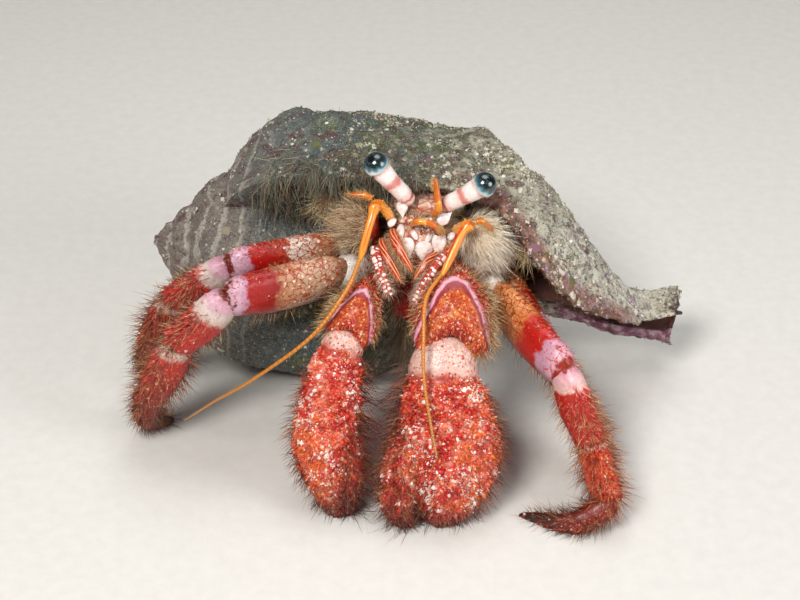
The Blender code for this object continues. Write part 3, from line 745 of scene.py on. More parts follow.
def segment_swell(part):
    """Ridges, collars and waists that make a segment more than an oval tube."""
    def swell(t, c, s):
        ridge = 0.05 * bell(s, 1, 0.25) + 0.03 * bell(s, -1, 0.3)
        flute = 0.025 * np.cos(3 * np.arctan2(s, c) + 1.0)
        rim = LEG_COLLARS.get(part, 0.03) * bell(t, 0.9, 0.05) - 0.16 * bell(t, 0.05, 0.05)
        return 1 + ridge + flute + rim
    return swell


def leg_skin(name, part):
    joints, n = np.array(LEGS[name], float), LEG_PARTS.index(part)
    hip, knee, tip = joints[1], joints[2], joints[4]
    way = unit(np.cross(knee - hip, tip - knee))
    start, end = joints[n], joints[n + 1]
    along = unit(end - start)
    bow = np.cross(way, along) * LEG_BOW * np.linalg.norm(end - start)
    if n:
        start = start - along * LEG_LAP
    knots = (start, (start + end) / 2 + bow, end + along * (LEG_LAP / 2))
    if part == "dactyl":
        knots = (start, joints[5], joints[6])
    (h0, w0), (h1, w1), (h2, w2) = (np.array(row) * LEG_SHARE[name] for row in LEG_SIZES[part])
    sizes = ((0, w0, h0), (0.45, w1, h1), (1, w2, h2))
    return Skin(knots, sizes, way, 60, 48, swell=segment_swell(part))


def build_leg(name):
    side = "left" if name.endswith("left") else "right"
    for part in LEG_PARTS:
        node = f"{name}_{part}"
        look = LEG_PAINT.get(node, LEG_PAINT.get(f"{part}_{side}", LEG_PAINT.get(part)))
        slot = "leg_ends" if part in ("propodus", "dactyl") else "leg_tops"
        skin = leg_skin(name, part)
        skin.push(0.1 * noise(skin.points, 0.9, 3) + 0.06 * noise(skin.points, 2.4, 5))
        material = cuticle(f"{node}_armour", **look)
        dress(node, slot, material, skin)
        size = 0.16 if part in ("ischium", "merus") else 0.24
        bald = 0.4 if part == "carpus" else 0.1

        def pebbled(t, c, s):
            return (0.15 + smooth(-0.2, 1, s)) * (0.03 + smooth(bald - 0.1, bald, t))

        pebbles = (LEG_GRAINS * LEG_ROUGHNESS[part], pebbled, dict(radius=size, height=size * 1.3, lean=0.5))
        grains = sown(skin, (pebbles, *LEG_SPINES.get(part, ())))
        coat(f"{node}_coat", slot, material, sown(skin, LEG_HAIRS[part]), grains)


# ------------------------------------------------------------------ claws
CLAWS = {
    "claw_left": {
        "ischium": ((9.4, -6, 37), (10.2, -12, 38)),
        "merus": ((10.2, -10.8, 37.6), (11.4, -17.5, 41), (11.7, -24, 43)),
        "carpus": ((11.9, -22.8, 45.2), (12.3, -30.3, 43.2), (11.6, -36.6, 36.8)),
        "palm": ((11, -34.8, 38.3), (9.7, -41, 29.3), (11, -48.5, 18), (10.8, -53, 8.3), (8.6, -54.8, -0.5)),
        "dactyl": ((3.2, -46.6, 21.0), (0.6, -52, 12), (0, -54.4, 5), (2.2, -55.6, -0.5)),
    },
    "claw_right": {
        "ischium": ((2.6, -6.5, 37.5), (0.6, -12.2, 38)),
        "merus": ((0.4, -10.5, 37), (-3.2, -17.5, 40.3), (-6.2, -23.2, 42.2)),
        "carpus": ((-6.4, -22.2, 43.8), (-8.9, -28, 40.8), (-12, -32.8, 36.2)),
        "palm": ((-11.8, -31.6, 37.2), (-13.7, -36, 32.9), (-16.9, -45.5, 19.9), (-16.7, -50, 11),
                 (-14.4, -52, -0.5)),
        "dactyl": ((-12.6, -44.5, 21.5), (-11, -49.3, 12), (-12, -52, -0.5)),
    },
}
CLAW_SIZES = {
    "ischium": ((0, 4.6, 4.2), (1, 4.8, 4.2)),
    "merus": ((0, 4.6, 4.6), (0.6, 5.8, 5.6), (1, 5.6, 5.2)),
    "carpus": ((0, 4.6, 4.6), (0.5, 7.8, 6.4), (1, 8.8, 6.0)),
    "palm": ((0, 7.4, 5.6), (0.25, 8.8, 6.8), (0.55, 11.2, 7.6), (0.8, 7.8, 6.4), (1, 4.6, 3.6)),
    "dactyl": ((0, 4.8, 4.6), (0.4, 4.6, 4.4), (1, 2.6, 2.2)),
}
CLAW_SHARE = {"claw_left": 1.0, "claw_right": 0.62}
CLAW_FACES = {"claw_left": (1.0, 0.05, 0.0), "claw_right": (1.0, 0.0, 0.05)}
PALM_GRID, CLAW_GRID = (120, 110), (70, 70)
CLAW_ZONES = (
    (0.0, "9c0c05"), (0.12, "b81408"), (0.24, "cc2410"), (0.34, "dc6048"), (0.42, "ecaa96"), (0.5, "e0704c"),
    (0.6, "e4601c"), (0.75, "e8843a"), (0.88, "d44a1a"), (1.0, "b41c0a"),
)
CLAW_PAINT = {
    "ischium": dict(bands=((0.0, "9c3018"), (1.0, "a82c18")), hair=("8a5a34", "e8cca0")),
    "merus": dict(
        bands=((0.0, "8a1a0c"), (0.6, "a81f0e"), (1.0, "b43420")),
        dots=((0, 1, "e0b8ac", 1.6, 0.3),), hair=("8a5a34", "ecd4a8")),
    "carpus": dict(
        bands=((0.0, "a02410"), (0.2, "a81a0a"), (0.245, "a8281c"), (0.265, "96384c"), (0.285, "dc9cac"),
               (0.33, "e8bcc8"), (0.365, "dc9cac"), (0.385, "96384c"), (0.43, "94200c"), (0.48, "c4641c"),
               (0.6, "b04a14"), (0.7, "c8742c"), (0.82, "a83010"), (1.0, "8e1408")),
        dots=((0.46, 1.0, "e0a860", 1.0, 0.3), (0.0, 0.26, "d89c88", 1.3, 0.3)),
        chevron=0.55, wobble=0.025, hair=("9a6a3a", "f2dcae"), grain_share=0.8),
    "palm": dict(
        bands=((0.0, "e2c0b2"), (0.12, "e6cabe"), (0.19, "dcb4a6"), (0.235, "b84a38"), (0.27, "a01408"),
               (1.0, "a01408")),
        dots=((0.04, 0.24, "a85a44", 1.3, 0.2), (0.14, 0.26, "8a2412", 1.1, 0.32)),
        nets=((0.02, 0.2, "cc9488", 0.9, 0.1),), tip=(0.72, 1.0, "2c0e09", 0.75),
        wobble=0.035, hair=("5a160c", "cc7c48"), grain_share=0.9),
    "dactyl": dict(
        bands=((0.0, "a02410"), (0.5, "98200c"), (1.0, "7c180a")), tip=(0.5, 0.95, "2c0e09", 0.75),
        hair=("6c2412", "c88850"), grain_share=0.85),
}
ZONES_FROM = {"palm": 0.26, "dactyl": 0.0}


def claw_swell(part):
    def swell(t, c, s):
        if part == "palm":
            flat = -0.10 * smooth(0.2, 0.9, s) * smooth(0.2, 0.4, t)
            facets = 0.04 * np.cos(4 * np.arctan2(s, c)) * smooth(0.25, 0.5, t)
            return 1 + -0.10 * bell(t, 0.235, 0.03) + flat + facets
        if part == "carpus":
            return 1 + 0.07 * bell(t, 0.9, 0.06) + 0.05 * bell(np.abs(c), 0.95, 0.15)
        return 1 + 0.05 * bell(t, 0.88, 0.07)
    return swell


def claw_skin(name, part):
    share = CLAW_SHARE[name]
    deep = share ** 0.6 if part == "carpus" else share
    sizes = [(t, w * share, d * deep) for t, w, d in CLAW_SIZES[part]]
    rows, columns = PALM_GRID if part == "palm" else CLAW_GRID
    skin = Skin(CLAWS[name][part], sizes, CLAW_FACES[name], rows, columns, swell=claw_swell(part))
    if part == "carpus":  # its front rim arches over the knuckle of the hand
        reach = smooth(0.45, 1.0, skin.t) * smooth(-0.6, 0.3, skin.sin)
        skin.points = skin.points + skin.along * (reach * (4.6 * skin.cos ** 2 - 1.6) * share)[..., None]
        skin.settle()
    if part in ZONES_FROM:
        clods = 0.3 * noise(skin.points, 0.5, 3) + 0.6 * np.abs(noise(skin.points, 0.42, 6)) - 0.2
        skin.push(clods * smooth(0.2, 0.3, skin.t) + 0.1 * noise(skin.points, 1.6, 4))
    else:
        skin.push(0.1 * noise(skin.points, 0.8, 3))
    return skin


# Debris and grains that the palm and the finger share.
RUBBLE = dict(radius=0.26, height=0.36, spread=0.4)
CRUMBS = dict(radius=0.27, height=0.42, sides=4, kind=FLECK, spread=0.4, jag=0.35)


def claw_growths(part, skin, inner):
    """Grains and hairs of a part, as sown() takes them. inner is the side of the other claw."""
    def ridge(t, c, s):
        return smooth(0.2, 0.12, np.abs(t - 0.55 * c * c - 0.12)) * smooth(-0.4, 0.2, s)

    def front(t, c, s):
        return smooth(0.42, 0.48, t - 0.55 * c * c) * smooth(-0.3, 0.3, s)

    def rim(t, c, s):
        return smooth(0.86, 0.93, t) * smooth(0.98, 0.94, t) * smooth(-0.3, 0.3, s)

    def rough(t, c, s):
        return smooth(0.2, 0.26, t + 0.05 * noise(skin.points, 0.4, 61)) * (0.4 + smooth(-0.5, 0.6, s))

    def debris(t, c, s):
        return rough(t, c, s) * (0.12 + smooth(0.05, 0.5, noise(skin.points, 0.3, 51, 2)))

    def knuckle(t, c, s):
        return smooth(0.23, 0.2, t) * (0.3 + smooth(0, 1, s))

    def outer_edge(t, c, s):
        return smooth(0.25, 0.35, t) * (0.15 + smooth(0.8, 0.97, -inner * c))

    def inner_edge(t, c, s):
        return smooth(0.12, 0.3, t) * smooth(0.8, 0.97, inner * c)

    def far_side(t, c, s):
        return smooth(0.75, 0.95, -inner * c)

    grains = {
        "palm": (
            (7800, rough, dict(RUBBLE, lean=0.15, jag=0.22)),
            (1500, rough, dict(radius=0.4, height=0.62, lean=0.3, jag=0.25)),
            (1300, debris, CRUMBS),
            (60, debris, dict(radius=0.62, height=0.5, kind=FLECK, spread=0.3, jag=0.3)),
            (50, knuckle, dict(radius=0.25, height=0.2, lean=0.2)),
        ),
        "dactyl": ((1800, None, dict(RUBBLE, lean=0.2, jag=0.25)), (180, None, CRUMBS)),
        "carpus": (
            (420, ridge, dict(radius=0.28, height=0.75, lean=0.8, sides=6, jag=0.2)),
            (900, front, dict(radius=0.24, height=0.32, lean=0.4, jag=0.25)),
            (120, rim, dict(radius=0.3, height=0.6, lean=0.8, sides=6, jag=0.2)),
        ),
    }
    hairs = {
        "palm": (
            (1000, outer_edge, dict(length=3.2, radius=0.07, lean=0.35, stray=0.3)),
            (560, inner_edge, dict(length=4.8, radius=0.07, lean=0.3, droop=0.1, stray=0.25)),
            (500, rough, dict(length=1.2, radius=0.05, lean=0.4, stray=0.5)),
        ),
        "dactyl": ((1300, None, dict(length=2.6, radius=0.065, lean=0.5, stray=0.4)),),
        "carpus": (
            (700, ridge, dict(length=2.0, radius=0.06, lean=0.5, stray=0.4)),
            (560, far_side, dict(length=3.2, radius=0.07, lean=0.4, stray=0.35)),
        ),
    }
    plain_grains = ((300, None, dict(radius=0.28, height=0.4, lean=0.4)),)
    plain_hairs = ((560, None, dict(length=2.4, radius=0.06, lean=0.4, droop=0.25, stray=0.35)),)
    return grains.get(part, plain_grains), hairs.get(part, plain_hairs)


def build_claw(name):
    share = CLAW_SHARE[name]
    inner = -1.0 if name == "claw_left" else 1.0
    for part in CLAWS[name]:
        node = f"{name}_{part}"
        slot = "claw_hands" if part in ZONES_FROM else "claw_arms"
        skin = claw_skin(name, part)
        look = dict(CLAW_PAINT[part], grains=CLAW_GRAINS)
        if part in ZONES_FROM:
            look["zones"] = (-inner, ZONES_FROM[part], CLAW_ZONES)
        material = cuticle(f"{node}_armour", **look)
        dress(node, slot, material, skin)
        grains, hairs = (sown(skin, growths, share) for growths in claw_growths(part, skin, inner))
        if part == "palm":  # long bristles that bridge the gap between the hands
            def between(t, c, s):
                return smooth(0.2, 0.3, t) * smooth(0.93, 0.99, inner * c)

            long_ones = ((150, between, dict(length=8.8, radius=0.075, lean=0.3, droop=0.22, stray=0.32)),)
            dark = strand_paint(f"{node}_bridge", "3a0c08", "7a2416")
            coat(f"{node}_bridge_coat", slot, dark, sown(skin, long_ones))
        coat(f"{node}_coat", slot, material, hairs, grains)


for leg in LEGS:
    build_leg(leg)
for claw in CLAWS:
    build_claw(claw)


# ------------------------------------------------------------------ the snail shell
APEX, CANAL_TIP = np.array((-62.0, 13.0, 33.0)), np.array((69.0, 4.0, 15.0))
SHELL_LENGTH = float(np.linalg.norm(CANAL_TIP - APEX))
AXIS = (CANAL_TIP - APEX) / SHELL_LENGTH
UPWARD = unit(np.array((0, 0, 1.0)) - AXIS * AXIS[2])
FORWARD = np.cross(UPWARD, AXIS)
FORWARD = -FORWARD if FORWARD[1] > 0 else FORWARD
WHORL_GROWTH, WHORLS_SHOWN, WHORL_START, LEAST_RADIUS = 1.9, 5, 14.0, 1.2
WHORL_PROFILE = (
    (14.0, 0.0), (16.0, 13.0), (19.0, 24.0), (24.0, 33.0), (32.0, 39.5), (44.0, 42.5),
    (58.0, 43.0), (72.0, 43.0), (84.0, 42.0), (92.0, 39.0), (100.0, 33.0), (108.0, 24.5),
    (115.0, 15.5), (121.0, 9.5), (127.0, 7.0), (SHELL_LENGTH, 6.6),
)
LIP_LEAN = (
    (0.0, 27.0), (40.0, 27.0), (56.0, 25.0), (80.0, 27.0), (88.0, 37.0), (96.0, 49.0),
    (105.0, 57.0), (113.0, 60.0), (122.0, 62.0), (SHELL_LENGTH, 58.0),
)
LIP_LEAN_AT_BODY = 25.0
CANAL_FROM, CANAL_FULL, CANAL_RADIUS, CANAL_BLUNT_END = 86.0, 118.0, 6.3, 1.4
SHELL_WALL, COLUMELLA, THINNEST_HORN = 2.2, 4.0, 0.8
CAVITY_SPAN, CAVITY_TURN = (30.0, 108.0), (-80.0, 165.0)
CANAL_GUTTER = ((88.0, 9.0), (104.0, 7.0), (118.0, 5.4), (SHELL_LENGTH + 2.0, 5.0))
CANAL_LEAN = 72.0
GUTTER_SIZES = ((0.0, 3.0, 2.6), (0.5, 4.4, 2.4), (1.0, 4.6, 2.2))
SHELL_GRID, LIP_FACE_STEPS = (210, 240), 14
CAVITY_ROWS, CAVITY_SIDES = 34, 48

# Lumps of old growth, as in the solid: height, waves along the axis and round it, start.
SHELL_LUMPS = (
    (0.75, 0.270, math.radians(6.5), 0.4), (0.55, -0.385, math.radians(5.0), 2.1),
    (0.45, 0.140, math.radians(7.5), 4.0),
)
LUMPS_ALONG, LUMPS_ROUND = (22.0, 34.0, 88.0, 100.0), (3.0, 18.0, 135.0, 165.0)


def fade(edges, x):
    """0 outside the four edges, 1 between the middle two."""
    rise = np.clip((x - edges[0]) / (edges[1] - edges[0]), 0, 1)
    return rise * np.clip((edges[3] - x) / (edges[3] - edges[2]), 0, 1)


def lumps(along, past_lip):
    height = sum(h * np.sin(a * along + b * past_lip + start) for h, a, b, start in SHELL_LUMPS)
    return height * fade(LUMPS_ALONG, along) * fade(LUMPS_ROUND, past_lip)


def whorl_radius(along, back):
    along, back = np.broadcast_arrays(np.asarray(along, float), np.asarray(back, float))
    widest = CANAL_RADIUS * np.clip((along - CANAL_FROM) / (CANAL_FULL - CANAL_FROM), 0, 1)
    for turn in range(WHORLS_SHOWN):
        size = WHORL_GROWTH ** (-(back / 360.0 + turn))
        here = size * curve(WHORL_PROFILE, along / size)
        widest = np.where(along / size > WHORL_START, np.maximum(widest, here), widest)
    return np.maximum(widest, LEAST_RADIUS)


def shell_point(along, radius, back):
    along, radius, back = np.broadcast_arrays(along, radius, back)
    lean = np.radians(LIP_LEAN_AT_BODY - back)[..., None]
    outward = UPWARD * np.cos(lean) + FORWARD * np.sin(lean)
    return APEX + AXIS * along[..., None] + outward * radius[..., None]


def plain_tube(name, rows, tips=None):
    """A closed mesh through rows of points, for the Booleans of the shell."""
    r, c = rows.shape[:2]
    points = rows.reshape(-1, 3)
    if tips is None:
        i = np.arange(c)
        faces = [tuple(f) for f in grid_faces(r, c)] + [tuple(i[::-1]), tuple(i + (r - 1) * c)]
    else:
        points = np.vstack((points, tips))
        faces = [tuple(f) for block in tube_faces(r, c) for f in block]
    obj = plain_object(name, metres(points), faces)
    bm = bmesh.new()
    bm.from_mesh(obj.data)
    bmesh.ops.recalc_face_normals(bm, faces=bm.faces)
    if bm.calc_volume(signed=True) < 0:
        bmesh.ops.reverse_faces(bm, faces=bm.faces)
    bm.to_mesh(obj.data)
    bm.free()
    return obj


def horn_rows(backs, span, clearance, fullness, share, sides):
    """Rows round a horn that fills the newest whorl between two angles back from its lip."""
    back = backs[0] + (backs[1] - backs[0]) * share
    size = WHORL_GROWTH ** (-back / 360.0)
    low, high = span[0] * size, np.minimum(span[1] * size, span[1])
    narrow = curve(fullness, share)
    turn = (2 * np.pi * np.arange(sides) / sides)[None]
    along = (low + high) / 2 + (high - low) / 2 * narrow * np.cos(turn)
    outer = whorl_radius(along, back) - SHELL_WALL - clearance
    past_turn = whorl_radius(along, back + 360.0) + SHELL_WALL + clearance
    inner = np.minimum(np.maximum(past_turn, COLUMELLA * size), outer - THINNEST_HORN)
    lift = np.sign(np.sin(turn)) * np.abs(np.sin(turn)) ** 0.8 * narrow
    rows = shell_point(along, (outer + inner) / 2 + (outer - inner) / 2 * lift, back + 0 * along)
    rows[..., 2] = np.maximum(rows[..., 2], SHELL_WALL + clearance)
    return rows


def finished(obj):
    """The mesh of an object with its modifiers applied, and its points in mm."""
    mesh = obj.evaluated_get(bpy.context.evaluated_depsgraph_get()).to_mesh()
    return mesh, read(mesh.vertices, "co", 3, float) / MM + CENTRE


def shell_solid():
    """The shell with its mouth and canal cut open, as points in mm, quads and triangles."""
    rows, columns = SHELL_GRID
    alongs = np.append(SHELL_LENGTH * np.arange(1, rows) / rows, SHELL_LENGTH - CANAL_BLUNT_END)[:, None]
    start = LIP_LEAN_AT_BODY - curve(LIP_LEAN, alongs)
    turn = 360.0 * np.linspace(0, 1, columns)[None]
    back = start + turn
    outer = shell_point(alongs, whorl_radius(alongs, back) + lumps(alongs, turn), back)
    step = np.linspace(0, 1, LIP_FACE_STEPS)[1:-1][None, :, None]
    face = outer[:, -1:] * (1 - step) + outer[:, :1] * step
    shell = plain_tube("shell_cut", np.concatenate((outer, face), 1), (APEX + AXIS, CANAL_TIP))
    share = np.linspace(0, 1, CAVITY_ROWS)[:, None]
    horn = horn_rows(CAVITY_TURN, CAVITY_SPAN, 0.0, ((0.0, 1.0), (1.0, 1.0)), share, CAVITY_SIDES)
    outward = shell_point(0.0, 1.0, LIP_LEAN_AT_BODY - CANAL_LEAN) - APEX
    knots = [APEX + AXIS * a + outward * out for a, out in CANAL_GUTTER]
    gutter = Skin(knots, GUTTER_SIZES, outward, 40, 28)
    cutters = [plain_tube("cut_cavity", horn), plain_tube("cut_canal", gutter.points, gutter.tips)]
    for cutter in cutters:
        cut = shell.modifiers.new(cutter.name, "BOOLEAN")
        cut.operation, cut.solver, cut.object = "DIFFERENCE", "MANIFOLD", cutter
    solid, points = finished(shell)
    solid.calc_loop_triangles()
    corners = read(solid.loops, "vertex_index")
    starts, totals = read(solid.polygons, "loop_start"), read(solid.polygons, "loop_total")
    quads, tris = (corners[starts[totals == n][:, None] + np.arange(n)] for n in (4, 3))
    owner = read(solid.loop_triangles, "polygon_index")
    cut_tris = read(solid.loop_triangles, "vertices", 3)[totals[owner] > 4]
    for obj in [shell] + cutters:
        bpy.data.objects.remove(obj)
    return points, quads, np.vstack((tris, cut_tris))


BEHIND_LIP = 3.0  # degrees in front of the lip that still count as the lip


def shell_place(points):
    """Distance along the axis, angle back from the lip, and share of the outside."""
    v = points - APEX
    along = v @ AXIS
    v = v - along[:, None] * AXIS
    start = LIP_LEAN_AT_BODY - curve(LIP_LEAN, along)
    back = LIP_LEAN_AT_BODY - np.degrees(np.arctan2(v @ FORWARD, v @ UPWARD)) - start
    back = (back + BEHIND_LIP) % 360.0 - BEHIND_LIP
    depth = whorl_radius(along, back + start) + lumps(along, back) - np.linalg.norm(v, axis=1)
    return along, back, smooth(1.0, 0.4, depth)


def rough_shell(points, normal, along, back, outside):
    """Knobs, growth lines, pits and a ragged lip and canal pushed out of the smooth shell."""
    rough = smooth(34, 52, along) * (1 - 0.5 * smooth(60, 150, back))
    knobs = (0.95 * np.abs(noise(points, 0.3, 2)) + 0.5 * np.abs(noise(points, 0.62, 4)) - 0.42
             + 0.28 * noise(points, 0.12, 1) + 0.12 * noise(points, 0.8, 3))
    lines = 0.13 * np.cos(along * 2 * np.pi / 3.1)
    growth = lines + 0.16 * np.cos(np.radians(back) * 22 + 2 * noise(points, 0.08, 5))
    pits = -0.5 * smooth(0.55, 0.9, noise(points, 0.45, 7, 2)) * rough
    height = outside * (knobs * (0.25 + 0.75 * rough) + growth * (1 - rough * 0.75) + pits) - 0.25 * outside
    rim = smooth(14, 2, back) * smooth(40, 50, along)
    height = height + rim * (0.7 * noise(points, 0.28, 8, 3) + 0.15)
    height = height + (1 - outside) * 0.22 * noise(points, 0.5, 6, 2)
    points = points + normal * (height * smooth(0.5, 3.0, points[:, 2]))[:, None]
    tip = smooth(0.92, 1.0, along / SHELL_LENGTH)
    upper = smooth(-2, 5, (points - CANAL_TIP) @ UPWARD)
    ragged = 1.3 * noise(points, 0.4, 15, 2)
    return points + AXIS * (tip * ragged)[:, None] + UPWARD * (2.4 * tip ** 2 * upper)[:, None]


# Where growth sits on the shell. s is the spots: share of the length, share of a turn back from
# the lip and share of the outside. p is the points.
def crust(s, p):
    patches = smooth(-0.25, 0.5, noise(p, 0.13, 9, 2)) * smooth(-0.5, 0.4, noise(p, 0.5, 10))
    near_lip = 0.15 + smooth(0.3, 0.04, s[:, 1])
    return (smooth(0.25, 0.42, s[:, 0]) * near_lip * patches + 0.06) * (0.2 + 0.8 * s[:, 2]) * (p[:, 2] > 3)


def lip(s, p):
    edge = smooth(0.12, 0.0, s[:, 1]) * smooth(0.25, 0.4, s[:, 0])
    return edge * (p[:, 2] > 25) * smooth(-0.2, 0.5, noise(p, 0.2, 12))


def fringe(s, p):
    edge = smooth(0.03, 0.0, s[:, 1]) * smooth(0.2, 0.26, s[:, 0]) * smooth(0.6, 0.5, s[:, 0])
    return edge * smooth(-0.3, 0.4, noise(p, 0.25, 14)) * (s[:, 2] > 0.1) * (p[:, 2] > 25)


def curtain(s, p):
    edge = smooth(0.06, 0.0, np.abs(s[:, 1])) * smooth(0.18, 0.26, s[:, 0]) * smooth(0.46, 0.38, s[:, 0])
    return edge * (0.2 + smooth(-0.4, 0.2, noise(p, 0.3, 16))) * (p[:, 2] > 22)


def anyhow(p):
    return rng.normal(0, 1, p.shape)


def hanging(p):
    return np.broadcast_to((0.0, -0.5, -1.0), p.shape)


def tumbling(p):
    return np.array((0.1, -0.3, -1.0)) + rng.normal(0, 0.3, p.shape)


def build_shell():
    points, quads, tris = shell_solid()
    along, back, outside = shell_place(points)
    spot = np.stack((along / SHELL_LENGTH, back / 360.0, outside), 1)
    bare = Surface(points, (quads, tris), spot, None)
    points = rough_shell(points, bare.normal, along, back, outside)
    piece = Piece("shell_skin", shell_paint("shell_crust"))
    piece.add(points, [quads, tris], spot)
    piece.make("shell", "shell")
    shell = Surface(points, (quads, tris), spot, in_map(np.clip(spot[:, :2], 0, 1)))
    chips = dict(lean=0.0, spread=0.45)
    coat("shell_crust_coat", "shell", shell_paint("shell_chips"), [
        (shell.scatter(1300, lip, anyhow), dict(length=1.3, radius=0.06, lean=0.2, stray=0.5)),
        (shell.scatter(2000, curtain, tumbling),
         dict(length=4.4, radius=0.08, lean=1.1, stray=0.5, spread=0.35, droop=0.6)),
        (shell.scatter(900, fringe, hanging),
         dict(length=1.9, radius=0.07, lean=1.0, stray=0.5, spread=0.5, droop=0.2)),
    ], [
        (shell.scatter(8200, crust, anyhow), dict(chips, radius=0.22, height=0.2, sides=4, jag=0.4)),
        (shell.scatter(1700, crust, anyhow), dict(chips, radius=0.42, height=0.3, jag=0.25)),
    ])


SHELL_BANDS = (
    (0.0, "786860"), (0.12, "6e6058"), (0.2, "585a56"), (0.3, "465253"), (0.42, "4c564c"), (0.52, "605f4a"),
    (0.58, "7c7664"), (0.66, "a09a87"), (0.76, "c0baa9"), (0.88, "ccc6b8"), (1.0, "b8ae9a"),
)
CRUMB_COLOURS = (
    (0.0, "cec8b6"), (0.14, "b4ac94"), (0.4, "8c8670"), (0.6, "564d3e"), (0.76, "332e24"), (0.82, "7c5060"),
    (0.88, "566030"), (0.95, "e4e0d4"),
)
TURF_COLOURS = (
    (0.0, "4a5440"), (0.25, "6c6c58"), (0.45, "7a4a34"), (0.6, "586064"), (0.8, "8a8468"), (1.0, "b0aa90"),
)


def shell_paint(name):
    """Bands from spire to canal, patches of growth over them, then the lip and the inside."""
    paint = Paint(name, 0.85)
    spot, form, root = paint.parts("spot"), paint.parts("form"), paint.attribute("root")
    broad, middle = paint.noise(root, 0.09, 3.0), paint.noise(root, 0.35, 4.0, 0.6)
    fine = paint.noise(root, 1.5, 5.0, 0.7)
    colour = paint.ramp(spot[0] + (broad - 0.5) * 0.2, SHELL_BANDS, "EASE")
    lines = paint.math("SINE", (middle * 0.01 + (broad * 0.06 + spot[0])) * 190.0)
    pale = paint.mask(lines, 0.6, 1.0) * paint.mask(spot[0], 0.26, 0.14)
    colour = paint.mix(pale * 0.6, colour, "b4aca2")

    def patch(colour, value, low, high, place, share, code):
        return paint.mix(paint.mask(value, low, high) * place * share, colour, code)

    green = paint.band(spot[0], 0.28, 0.62, 0.05)
    colour = patch(colour, paint.noise(root, 0.17, 3.0), 0.52, 0.6, green, 0.8, "47531c")
    front = paint.mask(spot[1], 0.30, 0.06)
    colour = patch(colour, paint.noise(root, 0.24, 3.0, 0.6, 0.4), 0.54, 0.6, front, 0.75, "4a2026")
    pink = paint.band(spot[0], 0.6, 0.8, 0.04) * paint.mask(spot[1], 0.1, 0.2)
    colour = patch(colour, paint.noise(root, 0.16, 4.0, 0.6, 0.4), 0.5, 0.56, pink, 0.8, "96705f")
    purple = paint.mask(spot[0], 0.6, 0.75)
    colour = patch(colour, paint.noise(root, 0.2, 4.0, 0.6, 0.6), 0.57, 0.62, purple, 0.75, "8e6878")
    sand = paint.mask(spot[0], 0.33, 0.6, 0.15, 0.75)
    colour = patch(colour, middle, 0.48, 0.6, sand, 1.0, "b4af9a")
    dark = paint.mask(spot[0], 0.3, 0.4)
    colour = patch(colour, paint.noise(root, 0.55, 3.0, 0.6, 0.3), 0.56, 0.62, dark, 0.65, "332e24")
    salt = paint.mask(paint.noise(root, 4.5, 3.0, 0.7), 0.56, 0.66)
    colour = paint.mix(salt * 0.5, colour, "d4d8d4")
    specks = paint.mask(paint.cells(root, 1.25), 0.2, 0.12)
    colour = paint.mix(specks * 0.6, colour, "d0ccc0")
    colour = paint.mix(paint.mask(fine, 0.34, 0.5, 0.65, 0.0), colour, "2a2822")
    rosy = paint.noise(root, 0.3, 3.0, 0.6, 0.3)
    rosy = paint.ramp(rosy, ((0.36, "5c2a40"), (0.48, "8a4a66"), (0.58, "b48ea0"), (0.66, "c8bcb2")))
    canal_lip = paint.mask(spot[0], 0.74, 0.8) * paint.mask(spot[1], 0.72, 0.8)
    colour = paint.mix(canal_lip * 0.9, colour, rosy)
    edge = paint.mask(spot[1], 0.035, 0.01) * paint.band(spot[0], 0.55, 0.9, 0.04)
    rust = paint.noise(root, 0.45, 3.0, 0.6)
    rust = paint.ramp(rust, ((0.35, "3c1a12"), (0.5, "8a4a34"), (0.62, "7c5a72"), (0.72, "c4b8a8")))
    colour = paint.mix(edge * 0.8, colour, rust)
    # The inside of the shell's mouth and canal is painted dark brown: partly the shell's own inner colour,
    # partly painted shade of the hollow.
    inside = paint.mask(spot[2], 0.5, 0.1) * paint.mask(spot[0], 0.4, 0.5)
    cloud = paint.noise(root, 0.3, 4.0, 0.6)
    nacre_and_shade = paint.ramp(cloud, ((0.3, "3c1c16"), (0.45, "6e4430"), (0.6, "5e3a3c"), (0.75, "8e7460")))
    dull_and_shade = paint.ramp(cloud, ((0.3, "3a3028"), (0.5, "5a4c3c"), (0.7, "6e6650")))
    colour = paint.mix(inside, colour, paint.mix(paint.mask(spot[0], 0.6, 0.45), nacre_and_shade, dull_and_shade))
    crumbs = paint.ramp(form[1], CRUMB_COLOURS, "CONSTANT")
    colour = paint.mix(paint.band(form[2], 0.4, 0.6, 0.05) * 0.75, colour, crumbs)
    colour = paint.mix(paint.mask(form[2], 0.85, 0.95), colour, paint.ramp(form[1], TURF_COLOURS))
    normal = paint.bump(fine, 0.0004, 1.0, paint.bump(middle, 0.0006, 0.9))
    return paint.done(colour, paint.bump(specks, 0.00015, 0.8, normal))


build_shell()


# ------------------------------------------------------------------ one skin over the flesh
VOXEL, RELAX_ROUNDS = 0.55, 6


def remeshed(name, skins):
    """Points in mm and quads of one closed skin round several."""
    piece = Piece(name, None)
    for skin in skins:
        skin.into(piece)
    faces = [tuple(f) for block in piece.faces for f in block.tolist()]
    obj = plain_object(name, (np.vstack(piece.points) - CENTRE) * MM, faces)
    remesh = obj.modifiers.new("remesh", "REMESH")
    remesh.mode, remesh.voxel_size = "VOXEL", VOXEL * MM
    relax = obj.modifiers.new("relax", "SMOOTH")
    relax.factor, relax.iterations = 0.5, RELAX_ROUNDS
    solid, points = finished(obj)
    corners = read(solid.loops, "vertex_index")
    bpy.data.objects.remove(obj)
    return points, corners.reshape(-1, 4)


